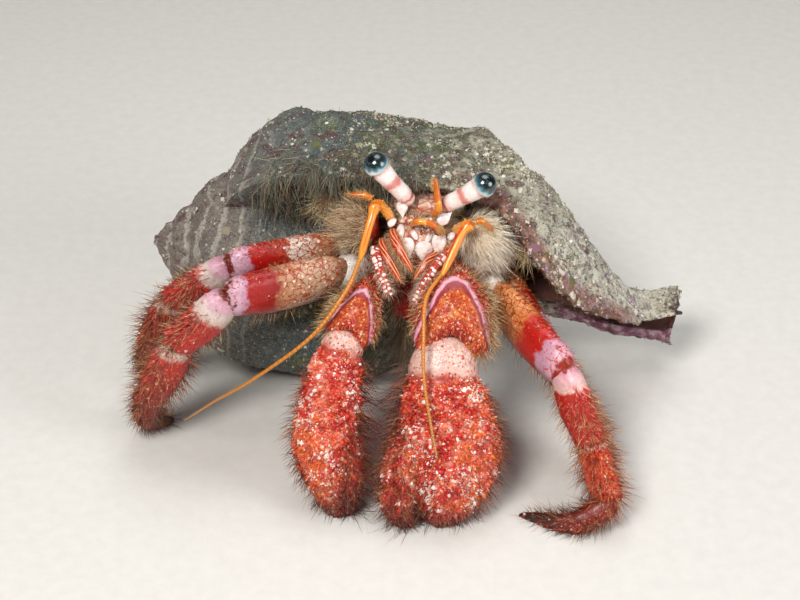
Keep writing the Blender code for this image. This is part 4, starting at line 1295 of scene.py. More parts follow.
TRUNK = {
    "thorax": (((6, -12, 45.5), (8, -3, 45.5), (8.5, 11, 43)), ((0, 7.5, 7.5), (0.5, 9.5, 8.2), (1, 9, 8))),
    "carapace": (
        ((5.5, -13, 57.9), (6, -4, 55), (5.5, 8, 50.5)), ((0, 6.8, 2.2), (0.4, 8.4, 2.8), (1, 7.5, 2.4))),
    "face": (
        ((5.5, -13.4, 55.9), (5.3, -17.3, 50), (5, -19.4, 45)),
        ((0, 6.2, 2.6), (0.5, 6.8, 2.9), (1, 4.8, 2.4))),
    "flank_left": (
        ((17.6, -17.4, 47.4), (19.5, -10.5, 48.8), (18, 1, 46)),
        ((0, 5.6, 6.2), (0.4, 6.7, 7.6), (1, 4.5, 5.2))),
    "flank_right": (
        ((-7.5, -16, 51.6), (-9.6, -9.5, 52.6), (-7, 2, 49)), ((0, 5.0, 5.0), (0.4, 6.2, 6.4), (1, 4, 4.2))),
    "sternum": (
        ((2.5, -4, 41), (2.2, -11, 36), (1.4, -14.5, 28)), ((0, 4.6, 3.6), (0.6, 5.0, 3.4), (1, 3.4, 2.4))),
}
COAT_DEPTH = 1.1
ABDOMEN_TURN, ABDOMEN_SPAN, ABDOMEN_CLEARANCE = (30.0, 150.0), (46.0, 90.0), 2.5
ABDOMEN_FULLNESS = ((0.0, 0.42), (0.3, 0.9), (0.6, 0.8), (1.0, 0.3))
ABDOMEN_GRID = 40


def trunk_skin(name, less=0.0, rows=48, columns=48):
    knots, sizes = TRUNK[name]
    return Skin(knots, [(t, w - less, d - less) for t, w, d in sizes], (1, 0, 0), rows, columns)


def abdomen_skin():
    """The soft tail curled into the newest whorl: a plain tube whose points are put in place."""
    share = np.linspace(0, 1, ABDOMEN_GRID)[:, None]
    points = horn_rows(ABDOMEN_TURN, ABDOMEN_SPAN, ABDOMEN_CLEARANCE, ABDOMEN_FULLNESS, share, ABDOMEN_GRID)
    knots = ((0, 0, 0), (0, 0, 1), (0, 0, 2))
    skin = Skin(knots, ((0, 1, 1), (1, 1, 1)), (1, 0, 0), ABDOMEN_GRID, ABDOMEN_GRID)
    skin.points, skin.tips = points, np.stack((points[0].mean(0), points[-1].mean(0)))
    skin.settle()
    return skin


def flesh_paint():
    paint = Paint("flesh", 0.55, Coat_Weight=0.1)
    root = paint.attribute("root")
    x, y, _ = paint.parts("root")
    broad, fine = paint.noise(root, 0.25, 3.0), paint.noise(root, 1.3, 4.0, 0.65)
    ragged_x = x + (broad - 0.5) * 5.0
    trunk = paint.ramp(fine, ((0.3, "8c0e06"), (0.5, "bc1a0c"), (0.7, "d4482c")))
    soft = paint.ramp(fine, ((0.3, "b98068"), (0.5, "cf9a84"), (0.72, "dfb6a2")))
    colour = paint.mix(paint.mask(y, -2.0, 6.0), trunk, soft)
    cream = paint.ramp(fine, ((0.28, "b07a40"), (0.42, "d8b684"), (0.6, "e6d3b0"), (0.75, "f2e6d0")))
    # Painted shade: the right flank's brown is a darker copy of the left flank's cream.
    shaded_brown = paint.ramp(fine, ((0.28, "4a2416"), (0.45, "7a4a30"), (0.6, "96704e"), (0.75, "bca47c")))
    colour = paint.mix(paint.mask(ragged_x, 9.5, 13.0), colour, cream)
    colour = paint.mix(paint.mask(ragged_x, -5.5, -7.5), colour, shaded_brown)
    blots = paint.mask(paint.cells(root, 0.5), 0.22, 0.3, 1, 0)
    colour = paint.mix(blots * 0.35, colour, "b4623a")
    normal = paint.bump(fine, 0.0002, 0.8)
    return paint.done(colour, paint.bump(paint.cells(root, 2.0), 0.00012, 0.6, normal))


# Which way the flanks' hairs are combed and where they grow. s is the spots, p the points.
def comb_left(p):
    return unit(p - (12.0, -9.0, 55.0)) + (0.25, -0.1, -0.5)


def comb_right(p):
    return unit(p - (-1.0, -8.0, 51.0)) + (-0.2, 0.0, 0.1)


def down(p):
    return np.broadcast_to((-0.1, -0.45, -1.0), p.shape)


def chin(s, p):
    x, y, z = p.T
    return smooth(-3, -1, x) * smooth(7.5, 5.5, x) * smooth(-6, -10, y) * smooth(29.5, 27, z)


def left(s, p):
    return smooth(10.5, 13, p[:, 0]) * smooth(6, 0, p[:, 1])


def left_edge(s, p):
    return smooth(19, 23, p[:, 0] + 0.4 * np.abs(p[:, 2] - 48)) * smooth(4, 0, p[:, 1])


def right(s, p):
    return smooth(-6, -8, p[:, 0]) * smooth(6, 0, p[:, 1])


def right_edge(s, p):
    return smooth(-8, -12, p[:, 0] - 0.5 * np.abs(p[:, 2] - 51)) * smooth(4, 0, p[:, 1])


FLESH_MIDDLE, FLESH_BACK, FLESH_DEPTH = (5.0, 46.0), -26, 70  # for its map: x and z, y and length


def build_flesh():
    skins = [trunk_skin("thorax"), trunk_skin("sternum"), trunk_skin("flank_left", COAT_DEPTH),
             trunk_skin("flank_right", COAT_DEPTH), abdomen_skin()]
    points, quads = remeshed("flesh_skin", skins)
    x, y, z = points.T
    turn = np.arctan2(z - FLESH_MIDDLE[1], x - FLESH_MIDDLE[0]) / (2 * np.pi) + 0.5
    uv = in_map(np.stack((turn, np.clip((y - FLESH_BACK) / FLESH_DEPTH, 0, 1)), 1))
    spot = np.stack((uv[:, 1], np.cos(turn * 2 * np.pi), np.sin(turn * 2 * np.pi)), 1)
    flesh = Surface(points, [quads], spot, uv)
    folds = 0.16 * noise(points, 0.8, 21, 2) + 0.25 * noise(points, 0.25, 22)
    rings = 0.35 * np.sin(y * 2.1 + 2 * noise(points, 0.15, 23)) * smooth(2, 10, y)
    flesh.points = points + flesh.normal * (folds + rings - 0.2)[:, None]
    piece = Piece("flesh_skin", flesh_paint())
    piece.add(flesh.points, [quads], spot)
    piece.make("flanks", "thorax", "flank_left", "flank_right", "abdomen")
    coat("mouth_beard_coat", "mouthparts", strand_paint("beard_hair", "4a2c1c", "b09a7a"), [
        (flesh.scatter(420, chin, down),
         dict(length=9.0, radius=0.065, lean=1.6, stray=0.22, droop=0.35, curl=0.2)),
        (flesh.scatter(500, chin, down), dict(length=3.2, radius=0.06, lean=0.8, stray=0.4)),
    ])
    coat("flank_left_coat", "flanks", strand_paint("flank_left_hair", "f4dcb0", "fffdf8"), [
        (flesh.scatter(6000, left, comb_left),
         dict(length=2.1, radius=0.075, lean=1.5, stray=0.16, curl=0.2, spread=0.3)),
        (flesh.scatter(900, left_edge, comb_left),
         dict(length=4.6, radius=0.08, lean=0.9, stray=0.22, curl=0.15)),
    ])
    # Painted shade: the right flank's brown hairs are a darker copy of the left flank's cream ones.
    coat("flank_right_coat", "flanks", strand_paint("flank_right_shaded_hair", "8a5636", "f4e0b8"), [
        (flesh.scatter(3400, right, comb_right),
         dict(length=2.0, radius=0.07, lean=1.0, stray=0.3, curl=0.25)),
        (flesh.scatter(900, right_edge, comb_right),
         dict(length=4.2, radius=0.075, lean=0.5, stray=0.3, curl=0.1)),
    ])


# ------------------------------------------------------------------ head
def shield_paint(name, gaps=0.7, mouth=False):
    """The mottled, granular armour of the shield and the face. gaps is how red its seams are."""
    paint = Paint(name, 0.4, Coat_Weight=0.2)
    root, form, spot = paint.attribute("root"), paint.parts("form"), paint.parts("spot")
    broad, fine = paint.noise(root, 0.5, 3.0), paint.noise(root, 1.8, 4.0, 0.65)
    colour = paint.ramp(broad, ((0.3, "b4644a"), (0.45, "d9a88c"), (0.6, "e6d0bc"), (0.8, "efe2d4")))
    seams = paint.mask(paint.cells(root, 0.55, "DISTANCE_TO_EDGE"), 0.05, 0.14, 1, 0)
    colour = paint.mix(seams * gaps, colour, "a8341c")
    if mouth:
        # The hollow of the mouth is painted dark red: partly its own red, partly painted shade of the hollow.
        deep = paint.ramp(fine, ((0.3, "4a0a06"), (0.55, "8c1a0e"), (0.8, "b8401c")))
        colour = paint.mix(paint.mask(spot[0] + (broad - 0.5) * 0.15, 0.42, 0.54), colour, deep)
    colour = paint.shade(colour, 0.8, fine, (0.7, 0.62, 0.6), (1.12, 1.1, 1.08))
    grain_colours = ((0.0, "f2e4d8"), (0.5, "f0d8c8"), (0.55, "b8502f"), (1.0, "963218"))
    grain = paint.ramp(form[1], grain_colours, "CONSTANT")
    colour = paint.mix(paint.band(form[2], 0.4, 0.6, 0.05), colour, grain)
    hair = paint.ramp(form[1], ((0.0, "a87c4c"), (1.0, "ecd9b4")))
    colour = paint.mix(paint.mask(form[2], 0.85, 0.95), colour, hair)
    return paint.done(colour, paint.bump(fine, 0.00012, 0.8))


def tooth_paint():
    paint = Paint("tooth_white", 0.22, Coat_Weight=0.5, Coat_Roughness=0.12)
    root, spot = paint.attribute("root"), paint.parts("spot")
    fine = paint.noise(root, 1.1, 3.0)
    colour = paint.ramp(fine, ((0.3, "dfc2bc"), (0.5, "efe0da"), (0.75, "f6eeea")))
    colour = paint.mix(paint.mask(spot[0], 0.62, 0.42, 0.0, 0.75), colour, "a8543c")
    return paint.done(colour, paint.bump(fine, 0.00005, 0.5))


def globe_grid(rows, columns):
    """Angles from the pole and round it of a ball's points, without its two poles."""
    return np.meshgrid(np.linspace(0, np.pi, rows + 2)[1:-1], 2 * np.pi * np.arange(columns) / columns,
                       indexing="ij")


BLOB_GRID, BLOB_POWER = (14, 22), 0.6


def blobs(piece, rows, sink=0.25):
    """Rounded plates. Each row is centre, outward way, long way, half sizes (long, wide, thick)
    and how far it tapers to its tip."""
    u, v = globe_grid(*BLOB_GRID)
    x, bulge = np.cos(u), np.sin(u) ** BLOB_POWER
    y, z = bulge * np.cos(v), bulge * np.sign(np.sin(v)) * np.abs(np.sin(v)) ** BLOB_POWER
    spot = np.stack(((z * 0.5 + 0.5).ravel(), x.ravel(), y.ravel()), 1)
    spot = np.vstack((spot, ((0.5, 1, 0), (0.5, -1, 0))))
    for centre, outward, long_way, (a, b, c), taper in rows:
        outward = unit(outward)
        long_way = np.asarray(long_way, float)
        long_way = unit(long_way - outward * (long_way @ outward))
        wide = np.cross(outward, long_way)
        narrow = 1 - taper * smooth(-0.2, 1.0, x)
        body = np.asarray(centre, float) - outward * (c * sink)
        plate = (long_way * (x * a)[..., None] + wide * (y * narrow * b)[..., None]
                 + outward * (z * narrow * c)[..., None])
        points = np.vstack((plate.reshape(-1, 3), long_way * a, long_way * -a)) + body
        piece.add(points, tube_faces(*BLOB_GRID), spot)


FACE_PLATES = (
    # the tooth-like plates over the mouth
    ((1.9, -18.9, 51.4), (-0.35, -0.85, 0.4), (0.12, -0.2, -1.0), (2.4, 1.75, 0.9), 0.55),
    ((5.5, -19.6, 51.0), (0.05, -0.9, 0.42), (0.1, -0.2, -1.0), (2.3, 2.1, 0.9), 0.35),
    ((8.8, -18.4, 52.5), (0.3, -0.8, 0.5), (-0.2, -0.3, -1.0), (2.6, 1.8, 0.95), 0.3),
    ((11.6, -17.4, 53.6), (0.5, -0.7, 0.5), (0.8, 0.1, 0.5), (1.2, 0.85, 0.6), 0.3),
    ((0.3, -16.9, 54.0), (-0.5, -0.6, 0.62), (0.1, -0.5, -1.0), (2.2, 1.0, 0.8), 0.4),
    ((3.4, -17.9, 54.1), (-0.1, -0.8, 0.6), (0.5, -0.3, -0.8), (1.2, 0.75, 0.7), 0.2),
    ((6.5, -18.4, 53.7), (0.1, -0.8, 0.6), (-0.5, -0.3, -0.8), (1.2, 0.75, 0.7), 0.2),
    ((-1.7, -16.4, 56.6), (-0.4, -0.7, 0.6), (0.4, -0.2, 0.8), (1.2, 0.85, 0.6), 0.3),
    # the pointed scales under the eyestalks
    ((0.6, -14.8, 59.2), (-0.3, -0.75, 0.6), (0.1, -0.5, -0.9), (2.1, 1.4, 0.75), 0.8),
    ((10.3, -16.6, 58.0), (0.1, -0.8, 0.6), (0.7, -0.2, 0.8), (2.1, 1.4, 0.6), 0.9),
)
FACE_ARCH = (
    (-0.3, -15.6, 56.0), (1.6, -16.0, 57.2), (4.0, -16.8, 57.0), (6.4, -17.6, 56.2), (8.8, -17.9, 54.9),
    (10.6, -17.0, 53.4),
)
ARCH_SIZES = ((0, 0.7, 0.6), (0.5, 0.95, 0.8), (1, 0.7, 0.6))


def build_shield_and_face():
    paint = shield_paint("shield_armour")
    shield = trunk_skin("carapace", 0.0, 90, 90)
    groove = -0.5 * bell(shield.t, 0.42 + 0.12 * np.abs(shield.cos), 0.05) * smooth(-0.2, 0.4, shield.sin)
    shield.push(groove + 0.14 * noise(shield.points, 0.9, 31, 2))
    dress("carapace", "shield", paint, shield)
    face = trunk_skin("face", 0.1, 100, 100)
    folds = 0.2 * noise(face.points, 0.7, 33, 2) + 0.12 * noise(face.points, 2.0, 34)
    facing = 1.0 if (face.normal[..., 1] * face.sin).sum() < 0 else -1.0
    mouth = smooth(0.55, 0.72, face.t) * smooth(0.0, 0.7, facing * face.sin)
    gutters = 0.35 * bell(np.abs(face.cos), 0.35, 0.08) * smooth(0.1, 0.5, facing * face.sin)
    face.push(folds - 1.5 * mouth - gutters)
    arch = Skin(FACE_ARCH, ARCH_SIZES, (0.0, 0.3, 1.0), 60, 20)
    arch.push(0.12 * noise(arch.points, 1.4, 35))
    dress("face", "shield", shield_paint("face_armour", 0.9, True), face, arch)
    teeth = Piece("face_plates", tooth_paint())
    blobs(teeth, FACE_PLATES, -0.3)
    teeth.make("mouthparts")
    plates = np.array([row[0] for row in FACE_PLATES])
    clear = smooth(1.3, 2.0, np.linalg.norm(face.points[..., None, :] - plates, axis=-1).min(-1))

    def front(t, c, s):
        return smooth(-0.3, 0.3, facing * s) * smooth(0.62, 0.5, t) * clear

    def edges(t, c, s):
        return smooth(0.8, 1.0, np.abs(c))

    def top(t, c, s):
        return smooth(-0.4, 0.2, s)

    def top_front(t, c, s):
        return top(t, c, s) * smooth(0.5, 0.1, t)

    coat("face_coat", "shield", paint, [
        (face.scatter(420, front), dict(length=1.5, radius=0.05, lean=0.3, stray=0.45)),
        (face.scatter(420, edges), dict(length=2.6, radius=0.05, lean=0.2, stray=0.45)),
        (arch.scatter(260), dict(length=1.8, radius=0.05, lean=0.1, stray=0.55)),
        (shield.scatter(500, top_front), dict(length=2.0, radius=0.055, lean=-0.3, stray=0.4)),
    ], [
        (shield.scatter(600, top), dict(radius=0.2, height=0.2, lean=0.2)),
        (face.scatter(360, front), dict(radius=0.24, height=0.34, lean=0.2, spread=0.4)),
        (arch.scatter(110), dict(radius=0.2, height=0.34, lean=0.2)),
    ])


ANTENNA_BASE = (
    (0, 1.35, 1.35), (0.3, 1.15, 1.15), (0.5, 1.3, 1.3), (0.62, 1.02, 1.02), (0.9, 0.98, 0.98),
    (1, 0.66, 0.66),
)
STALK = ((0, 2.1, 2.1), (0.45, 2.0, 2.0), (1, 2.7, 2.7))
ANTENNULE = ((0, 0.8, 0.8), (1, 0.62, 0.62))
ACICLE = ((0, 0.8, 0.8), (1, 0.28, 0.28))
BLADE = ((0, 1.1, 1.25), (0.45, 1.15, 1.2), (0.85, 0.8, 0.85), (1, 0.2, 0.25))
PALP = ((0, 1.2, 1.2), (1, 1.0, 1.0))
FACE = {
    "eyestalk_right": (((2.6, -13.8, 60.6), (-1.6, -15, 66.2), (-5.2, -15.5, 71.2)), STALK),
    "eyestalk_left": (((9.4, -14, 59.3), (14.4, -15.6, 63.2), (18.8, -16.4, 66.6)), STALK),
    "antennule_right": (
        ((2.5, -16.5, 56), (4.2, -19.2, 58.6), (7.3, -19.8, 58.2), (9.6, -19.9, 55.6)), ANTENNULE),
    "antennule_left": (
        ((7.2, -16.5, 58.4), (8.7, -18.5, 61.4), (8.4, -17.5, 64.5), (8, -16.2, 68.2)), ANTENNULE),
    "antenna_base_right": (
        ((-1.5, -14.5, 56), (-5, -16, 61.3), (-6.6, -19.2, 59), (-9.2, -24.2, 50.9)), ANTENNA_BASE),
    "antenna_base_left": (
        ((12.4, -15.6, 53.8), (15.6, -19.2, 57.8), (13.9, -21.9, 56.9), (9.2, -28.6, 49.4)), ANTENNA_BASE),
    "acicle_right": (((-6.4, -15.6, 62.6), (-8.3, -15.4, 63.4), (-12.0, -15, 63.2)), ACICLE),
    "acicle_left": (((17.2, -19.2, 58.5), (18.8, -19, 58.6), (21.0, -19.2, 56.2)), ACICLE),
    "maxilliped_right": (((-3.4, -16.5, 52.5), (-2.0, -21.8, 51), (1.4, -25.4, 46.4)), BLADE),
    "maxilliped_left": (((11.2, -17.5, 50), (8.2, -22.6, 49.6), (4.8, -25.4, 46.2)), BLADE),
    "palp_right": (((-6.0, -19.5, 52.2), (-4.9, -24.2, 50), (-2.4, -28.6, 44.8)), PALP),
    "palp_left": (((10.6, -22.4, 52.4), (6.6, -27.2, 49), (3.2, -30.4, 43.8)), PALP),
}
CORNEA_RADIUS = 2.92
CORNEAS = {
    "cornea_right": ((-5.3, -15.5, 71.4), (-3.8, -0.6, 5.4)),
    "cornea_left": ((19.0, -16.4, 66.7), (4.8, -0.9, 3.7)),
}
FLAGELLA = {
    "antenna_right": (
        (-8.8, -23.0, 52.0), (-12.2, -31, 47.6), (-20.3, -36, 38.3), (-33.4, -37, 27.4), (-43, -34.5, 19),
        (-51, -31, 10.4),
    ),
    "antenna_left": (
        (9.6, -27.6, 50.2), (5.8, -35.4, 48.6), (5.2, -42.4, 42.4), (5.3, -48.7, 36.1), (6.6, -54.3, 29.2),
        (8.2, -59.6, 22.3),
    ),
}
FLAGELLUM_SIZES = ((0, 0.64, 0.64), (0.1, 0.52, 0.52), (1, 0.3, 0.3))
FEELER_WIDTH_WAY = (0.2, 0.9, 0.4)


def limb_paint(name, bands, rings=0.0, stripes=None, coat_weight=0.3, hair=("b87a34", "f0c880"), wobble=0.05):
    """Smooth cuticle of the small parts: colours along it, fine rings, lengthwise stripes as
    (colour, places round it, width)."""
    paint = Paint(name, 0.3, Coat_Weight=coat_weight, Coat_Roughness=0.2)
    root, form, spot = paint.attribute("root"), paint.parts("form"), paint.parts("spot")
    fine = paint.noise(root, 1.8, 4.0, 0.6)
    colour = paint.ramp(spot[0] + (paint.noise(root, 0.6) - 0.5) * (wobble * 2), bands, "EASE")
    if stripes:
        code, places, width = stripes
        for place in places:
            off = paint.math("ABSOLUTE", spot[1] - place)
            colour = paint.mix(paint.mask(off, width * 0.6, width, 1, 0), colour, code)
    colour = paint.shade(colour, 0.8, fine, (0.78, 0.72, 0.7), (1.1, 1.08, 1.05))
    strand = paint.ramp(form[1], ((0.0, hair[0]), (1.0, hair[1])))
    colour = paint.mix(paint.mask(form[2], 0.85, 0.95), colour, strand)
    normal = paint.bump(fine, 0.00004, 0.6)
    if rings:
        ring = paint.math("SINE", spot[0] * (rings * 2 * math.pi))
        normal = paint.bump(ring, 0.00005, 0.8, normal)
        colour = paint.mix(paint.mask(ring, -1.0, -0.4, 0.4, 0.0), colour, "7a3c10")
    return paint.done(colour, normal)


EYE_COLOURS = (
    (0.0, "020303"), (0.14, "040607"), (0.2, "33474b"), (0.28, "16201f"), (0.42, "18282c"), (0.5, "2c454c"),
    (0.6, "4a737e"), (0.69, "98c0ca"), (0.78, "dcebec"), (0.87, "f2ece8"), (1.0, "f0eae6"),
)
STAR_RAYS = 9.0


def eye_paint():
    """Spot holds the share of the way from the pupil to the rim, and the way round."""
    paint = Paint("star_eye", 0.06, Coat_Weight=1.0, Coat_Roughness=0.03)
    spot, root = paint.parts("spot"), paint.attribute("root")
    turn = paint.math("ARCTAN2", spot[2], spot[1])
    star = paint.math("COSINE", turn * STAR_RAYS) * 0.045
    fine = (paint.noise(root, 1.4, 3.0) - 0.5) * 0.12
    place = spot[0] + star * paint.band(spot[0], 0.12, 0.6, 0.1) + spot[2] * 0.2 + fine
    colour = paint.ramp(place, EYE_COLOURS, "EASE")
    return paint.done(colour, paint.bump(paint.cells(root, 6.5), 0.00003, 0.5))


CORNEA_GRID, CORNEA_BACK, STAR_REACH = (48, 64), 0.7, 0.62  # the last is in half turns


def side_and_up(way):
    side = unit(np.cross(way, (0, 0, 1.0)))
    return side, np.cross(side, way)


def build_cornea(name):
    """A ball flattened at its back, with its pupil turned a little down and forward."""
    centre, outward = CORNEAS[name]
    outward = unit(outward)
    side, up = side_and_up(outward)
    u, v = globe_grid(*CORNEA_GRID)
    ring = side * np.cos(v)[..., None] + up * np.sin(v)[..., None]
    lift = np.where(np.cos(u) > 0, 1.0, CORNEA_BACK)
    ball = ring * np.sin(u)[..., None] + outward * (np.cos(u) * lift)[..., None]
    points = np.vstack((ball.reshape(-1, 3), outward, -outward * CORNEA_BACK)) * CORNEA_RADIUS
    way = unit(points)
    pupil = unit(outward + np.array((0.0, -0.55, 0.1)))
    side, up = side_and_up(pupil)
    share = np.clip(np.arccos(np.clip(way @ pupil, -1, 1)) / (np.pi * STAR_REACH), 0, 1)
    piece = Piece(name + "_lens", eye_paint())
    piece.add(points + centre, tube_faces(*CORNEA_GRID), np.stack((share, way @ side, -way @ up), 1))
    piece.make("cornea", name)


def feeler_skin(name, rows, columns, swell=None):
    knots, sizes = FACE[name]
    return Skin(knots, sizes, FEELER_WIDTH_WAY, rows, columns, swell=swell)


def bulges(places, height):
    """Swollen joints at shares of the length."""
    def swell(t, c, s):
        return 1 + sum(height * bell(t, place, 0.05) for place in places)
    return swell


def from_to(*edges):
    """A density that rises or falls between each pair of shares of the length."""
    def density(t, c, s):
        return np.prod([smooth(low, high, t) for low, high in edges], axis=0)
    return density


def simple_piece(node, slot, skins, paint, hairs=(), grains=()):
    """Skins with their own hairs and grains as one object, in place of a node."""
    piece = Piece(node + "_skin", paint)
    for skin in skins:
        skin.into(piece)
    for grow, growths in ((grow_grains, grains), (grow_hairs, hairs)):
        for places, settings in growths:
            places.uv = None
            grow(piece, places, **settings)
    piece.make(slot, node)


def build_eyestalks():
    paint = limb_paint("eyestalk_bands", (
        (0.0, "e8b8a4"), (0.08, "f0d8ce"), (0.14, "c85c50"), (0.19, "eec4bc"), (0.3, "f6eeec"),
        (0.44, "f4e6e2"), (0.52, "d8837a"), (0.58, "dc8c84"), (0.66, "f4e8e4"), (0.82, "f6f0ee"),
        (0.9, "e4b0a8"), (1.0, "f0e8e4"),
    ), coat_weight=0.4, hair=("e0d4b8", "fff6e2"), wobble=0.09)

    def swell(t, c, s):
        return 1 - 0.10 * bell(t, 0.1, 0.04) + 0.05 * np.cos(2 * np.arctan2(s, c)) * (1 - t)

    for name in ("eyestalk_right", "eyestalk_left"):
        skin = feeler_skin(name, 80, 48, swell)
        simple_piece(name, "eyestalk", [skin], paint, [
            (skin.scatter(60, from_to((0.8, 0.86), (0.95, 0.9))),
             dict(length=1.0, radius=0.03, lean=1.0, stray=0.3)),
            (skin.scatter(90, from_to((0.05, 0.2), (0.8, 0.6))),
             dict(length=0.7, radius=0.025, lean=0.6, stray=0.4)),
        ])


def build_feelers():
    orange = limb_paint("feeler_orange", (
        (0.0, "e09a4a"), (0.2, "d4761c"), (0.45, "e08a20"), (0.5, "f0b050"), (0.55, "d06a10"),
        (1.0, "c45c0a"),
    ), wobble=0.1)

    def comb(t, c, s):
        return smooth(0.72, 0.8, t) * smooth(0.2, 0.8, s)

    for name in ("antennule_right", "antennule_left"):
        skin = feeler_skin(name, 70, 26, bulges((0.36, 0.68), 0.16))
        hairs = [(skin.scatter(220, comb), dict(length=0.9, radius=0.03, lean=0.3, stray=0.15))]
        simple_piece(name, "feelers", [skin], orange, hairs)
    base = limb_paint("antenna_base", (
        (0.0, "e8c090"), (0.25, "e09a48"), (0.4, "d87418"), (0.5, "c8500e"), (0.56, "e08a2c"),
        (0.62, "d4420e"), (0.86, "cc3c0c"), (0.93, "e89a3c"), (1.0, "e0a040"),
    ), stripes=("ee9c34", (-0.75, 0.75), 0.3), wobble=0.04)
    for name in ("antenna_base_right", "antenna_base_left"):
        skin = feeler_skin(name, 90, 32, bulges((0.48,), 0.16))
        hairs = [(skin.scatter(120), dict(length=0.9, radius=0.035, lean=0.5, stray=0.4))]
        grains = [(skin.scatter(60, from_to((0.5, 0.3))), dict(radius=0.16, height=0.3, lean=0.4))]
        simple_piece(name, "feelers", [skin], base, hairs, grains)
    for name in ("acicle_right", "acicle_left"):
        skin = feeler_skin(name, 44, 20)
        hairs = [(skin.scatter(110), dict(length=1.4, radius=0.04, lean=0.8, stray=0.45))]
        grains = [(skin.scatter(40), dict(radius=0.16, height=0.42, lean=0.8))]
        simple_piece(name, "feelers", [skin], orange, hairs, grains)
    golden = limb_paint("flagellum_golden", (
        (0.0, "d88a28"), (0.3, "cf8020"), (0.7, "c47c26"), (1.0, "b08848"),
    ), rings=64.0, wobble=0.02)
    for name, knots in FLAGELLA.items():
        skin = Skin(knots, FLAGELLUM_SIZES, FEELER_WIDTH_WAY, 260, 12)
        hairs = [(skin.scatter(160), dict(length=0.8, radius=0.02, lean=0.9, stray=0.25))]
        simple_piece(name, "feelers", [skin], golden, hairs)


def build_mouthparts():
    blade = limb_paint("maxilliped_blade", (
        (0.0, "c05a38"), (0.2, "b43014"), (0.6, "a8240c"), (1.0, "c0481c"),
    ), stripes=("f0b080", (-0.62, 0.0, 0.62), 0.13), hair=("c08a50", "f6dcb0"))

    def swell(t, c, s):
        return 1 + 0.10 * np.cos(4 * np.arctan2(s, c)) - 0.12 * bell(t, 0.36, 0.03)

    def edges(t, c, s):
        return smooth(0.7, 0.95, np.abs(c))

    for name in ("maxilliped_right", "maxilliped_left"):  # each is two blades side by side
        knots, sizes = FACE[name]
        shift = np.array((1.0, 0.1, 0.45)) * (1 if name.endswith("right") else -1)
        skins = [Skin(np.array(knots) + shift * side, sizes, FEELER_WIDTH_WAY, 80, 32, 5.0, swell)
                 for side in (-1.0, 1.6)]
        skins[1].points = skins[1].points + np.array((0, 0.9, 0.9))
        hairs = [(skin.scatter(420, edges), dict(length=1.5, radius=0.032, lean=0.5, stray=0.35))
                 for skin in skins]
        simple_piece(name, "mouthparts", skins, blade, hairs)
    stem = limb_paint("palp_stem", (
        (0.0, "b04028"), (0.5, "a82c18"), (1.0, "b84a30"),
    ), hair=("c89a70", "fbeedd"))
    for name in ("palp_right", "palp_left"):
        skin = feeler_skin(name, 70, 28, bulges((0.3, 0.6, 0.88), 0.12))
        few = skin.scatter(260, from_to((0.2, 0.8)))
        hairs = [(few, dict(length=1.5, radius=0.032, lean=0.5, stray=0.4))]
        simple_piece(name, "mouthparts", [skin], stem, hairs)
        beads = Piece(name + "_beads", tooth_paint())
        blobs(beads, bead_rows(FACE[name][0]))
        beads.make("mouthparts")


BEADS, BEAD_SIZE = 26, 0.43


def bead_rows(knots):
    """Rows for blobs(): pale beads in two lines along a palp."""
    rows = []
    for n, t in enumerate(np.linspace(0.06, 0.97, BEADS)):
        t = float(np.clip(t + rng.normal(0, 0.01), 0, 1))
        centre, before, after = spine(knots, np.array((t, max(t - 0.02, 0), min(t + 0.02, 1))))
        way = np.array((0.62 if n % 2 else -0.62, -0.8, 0.6)) + rng.normal(0, 0.1, 3)
        size = BEAD_SIZE * (1 - 0.2 * t) * (1 + rng.normal(0, 0.12))
        place = centre + unit(way) * (1.05 - 0.15 * t)
        rows.append((place, way, unit(after - before), (size, size * 1.25, size * 0.8), 0.0))
    return rows


# ------------------------------------------------------------------ small legs
SMALL_LEGS = {
    "leg4_left": (((18.5, 6, 47.5), (25.5, 0.5, 49.5), (28.8, -8, 48.5), (30.2, -14, 45.5)), 2.4),
    "leg4_right": (((-7, 4, 49), (-11, 0, 54), (-15, -3, 55.5), (-19, -5, 54)), 2.3),
    "leg5_left": (((11, 12, 50), (15, 9, 53), (19, 4, 54.5)), 1.5),
    "leg5_right": (((-1, 12, 48), (-4, 9, 53), (-7, 5, 56)), 1.5),
}


def build_small_legs():
    bands = ((0.0, "d8a888"), (0.4, "cf8258"), (0.75, "c4502c"), (0.92, "b8381a"), (1.0, "8c2410"))
    paint = cuticle(
        "small_leg_armour", bands, dots=((0.0, 0.8, "f0dcc4", 1.2, 0.3),), hair=("d8bc88", "f6e8c8"),
        grains=((0.0, "f0dcc8"), (0.5, "e0b090"), (1.0, "b8401c")))
    hairs = (
        (480, lambda t, c, s: 0.3 + smooth(0.5, 0.9, t), dict(length=2.6, radius=0.06, lean=0.5, stray=0.4)),
        (160, from_to((0.7, 0.95)), dict(length=4.2, radius=0.065, lean=0.4, stray=0.5)),
    )
    grains = ((260, lambda t, c, s: 0.2 + smooth(0.6, 0.95, t), dict(radius=0.2, height=0.3, lean=0.3)),)
    for name, (knots, half) in SMALL_LEGS.items():
        sizes = ((0, half, half), (1, half * 0.6, half * 0.6))
        skin = Skin(knots, sizes, (0, 1, 0), 70, 34, swell=bulges((0.4, 0.72), 0.08))
        skin.push(0.06 * noise(skin.points, 1.2, 41))
        dress(name, "small_legs", paint, skin)
        coat(name + "_coat", "small_legs", paint, sown(skin, hairs), sown(skin, grains))


build_flesh()
build_shield_and_face()
build_eyestalks()
for cornea in CORNEAS:
    build_cornea(cornea)
build_feelers()
build_mouthparts()
build_small_legs()


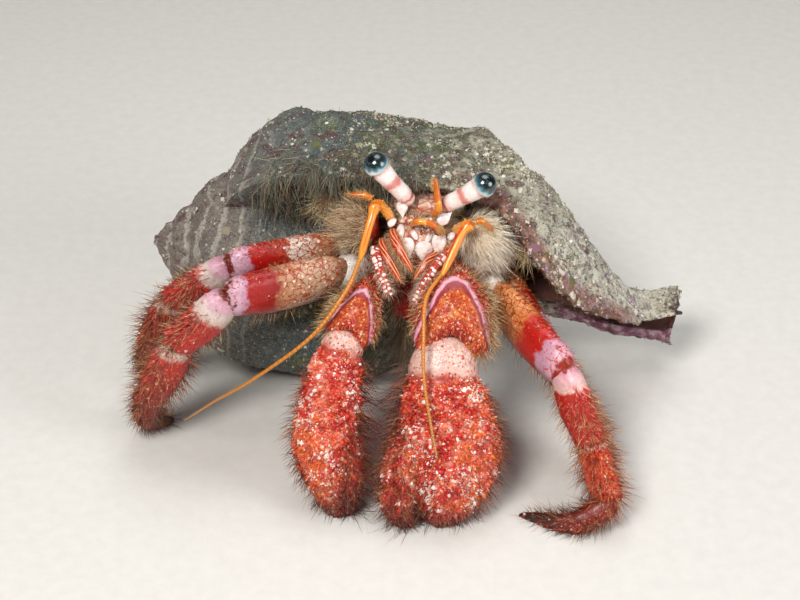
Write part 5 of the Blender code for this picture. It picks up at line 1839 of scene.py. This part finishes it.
# ------------------------------------------------------------------ studio
FLOOR_REACH = 1.5
WORLD_COLOUR, WORLD_STRENGTH = (0.85, 0.88, 0.92, 1), 0.15
LIGHTS_AIM = (0, 0, 0.03)
LIGHTS = {  # place, size, watts and colour
    "key": ((-0.20, -0.42, 0.55), 0.25, 4.6, (1.0, 0.98, 0.95)),
    "fill": ((0.50, -0.30, 0.30), 0.35, 2.1, (0.97, 0.98, 1.0)),
    "top": ((0.05, 0.15, 0.60), 0.40, 1.3, (1, 1, 1)),
}
CAMERA_AIM = metres((0.0, 5.0, 20.0))
CAMERA_ELEVATION = math.radians(35.0)
CAMERA_DISTANCE, LENS, SENSOR = 0.45, 81.0, 36.0


def aimed(name, data, place, way):
    """An object that looks along way from its place."""
    obj = placed(bpy.data.objects.new(name, data))
    obj.location = place
    obj.rotation_euler = way.to_track_quat("-Z", "Y").to_euler()
    return obj


def build_studio():
    corners = np.array(((-1, -1, 0), (1, -1, 0), (1, 1, 0), (-1, 1, 0))) * FLOOR_REACH
    floor = plain_object("floor", corners, [(0, 1, 2, 3)])
    paint = Paint("floor_paper", 0.9)
    grain = paint.noise(paint.node("TexCoord", {}, "Object"), 300.0)
    floor.data.materials.append(paint.done(paint.ramp(grain, ((0.3, "d2cfc9"), (0.7, "d8d5cf")))))
    floor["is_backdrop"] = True
    for name, (place, size, watts, colour) in LIGHTS.items():
        lamp = bpy.data.lights.new(name, "AREA")
        lamp.shape, lamp.size, lamp.energy, lamp.color = "DISK", size, watts, colour
        aimed(name, lamp, place, Vector(LIGHTS_AIM) - Vector(place))
    world = bpy.data.worlds.new("studio")
    world.use_nodes = True
    background = world.node_tree.nodes["Background"]
    background.inputs["Color"].default_value = WORLD_COLOUR
    background.inputs["Strength"].default_value = WORLD_STRENGTH
    bpy.context.scene.world = world
    bpy.context.scene.view_settings.view_transform = "Standard"


def build_camera():
    camera = bpy.data.cameras.new("camera")
    camera.lens, camera.sensor_width, camera.clip_start = LENS, SENSOR, 0.01
    away = Vector((0, -math.cos(CAMERA_ELEVATION), math.sin(CAMERA_ELEVATION)))
    place = Vector(CAMERA_AIM) + away * CAMERA_DISTANCE
    bpy.context.scene.camera = aimed("camera", camera, place, -away)


build_studio()
build_camera()
sides = [[list(map(float, corner)) for corner in box] for box in (cad_box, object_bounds())]
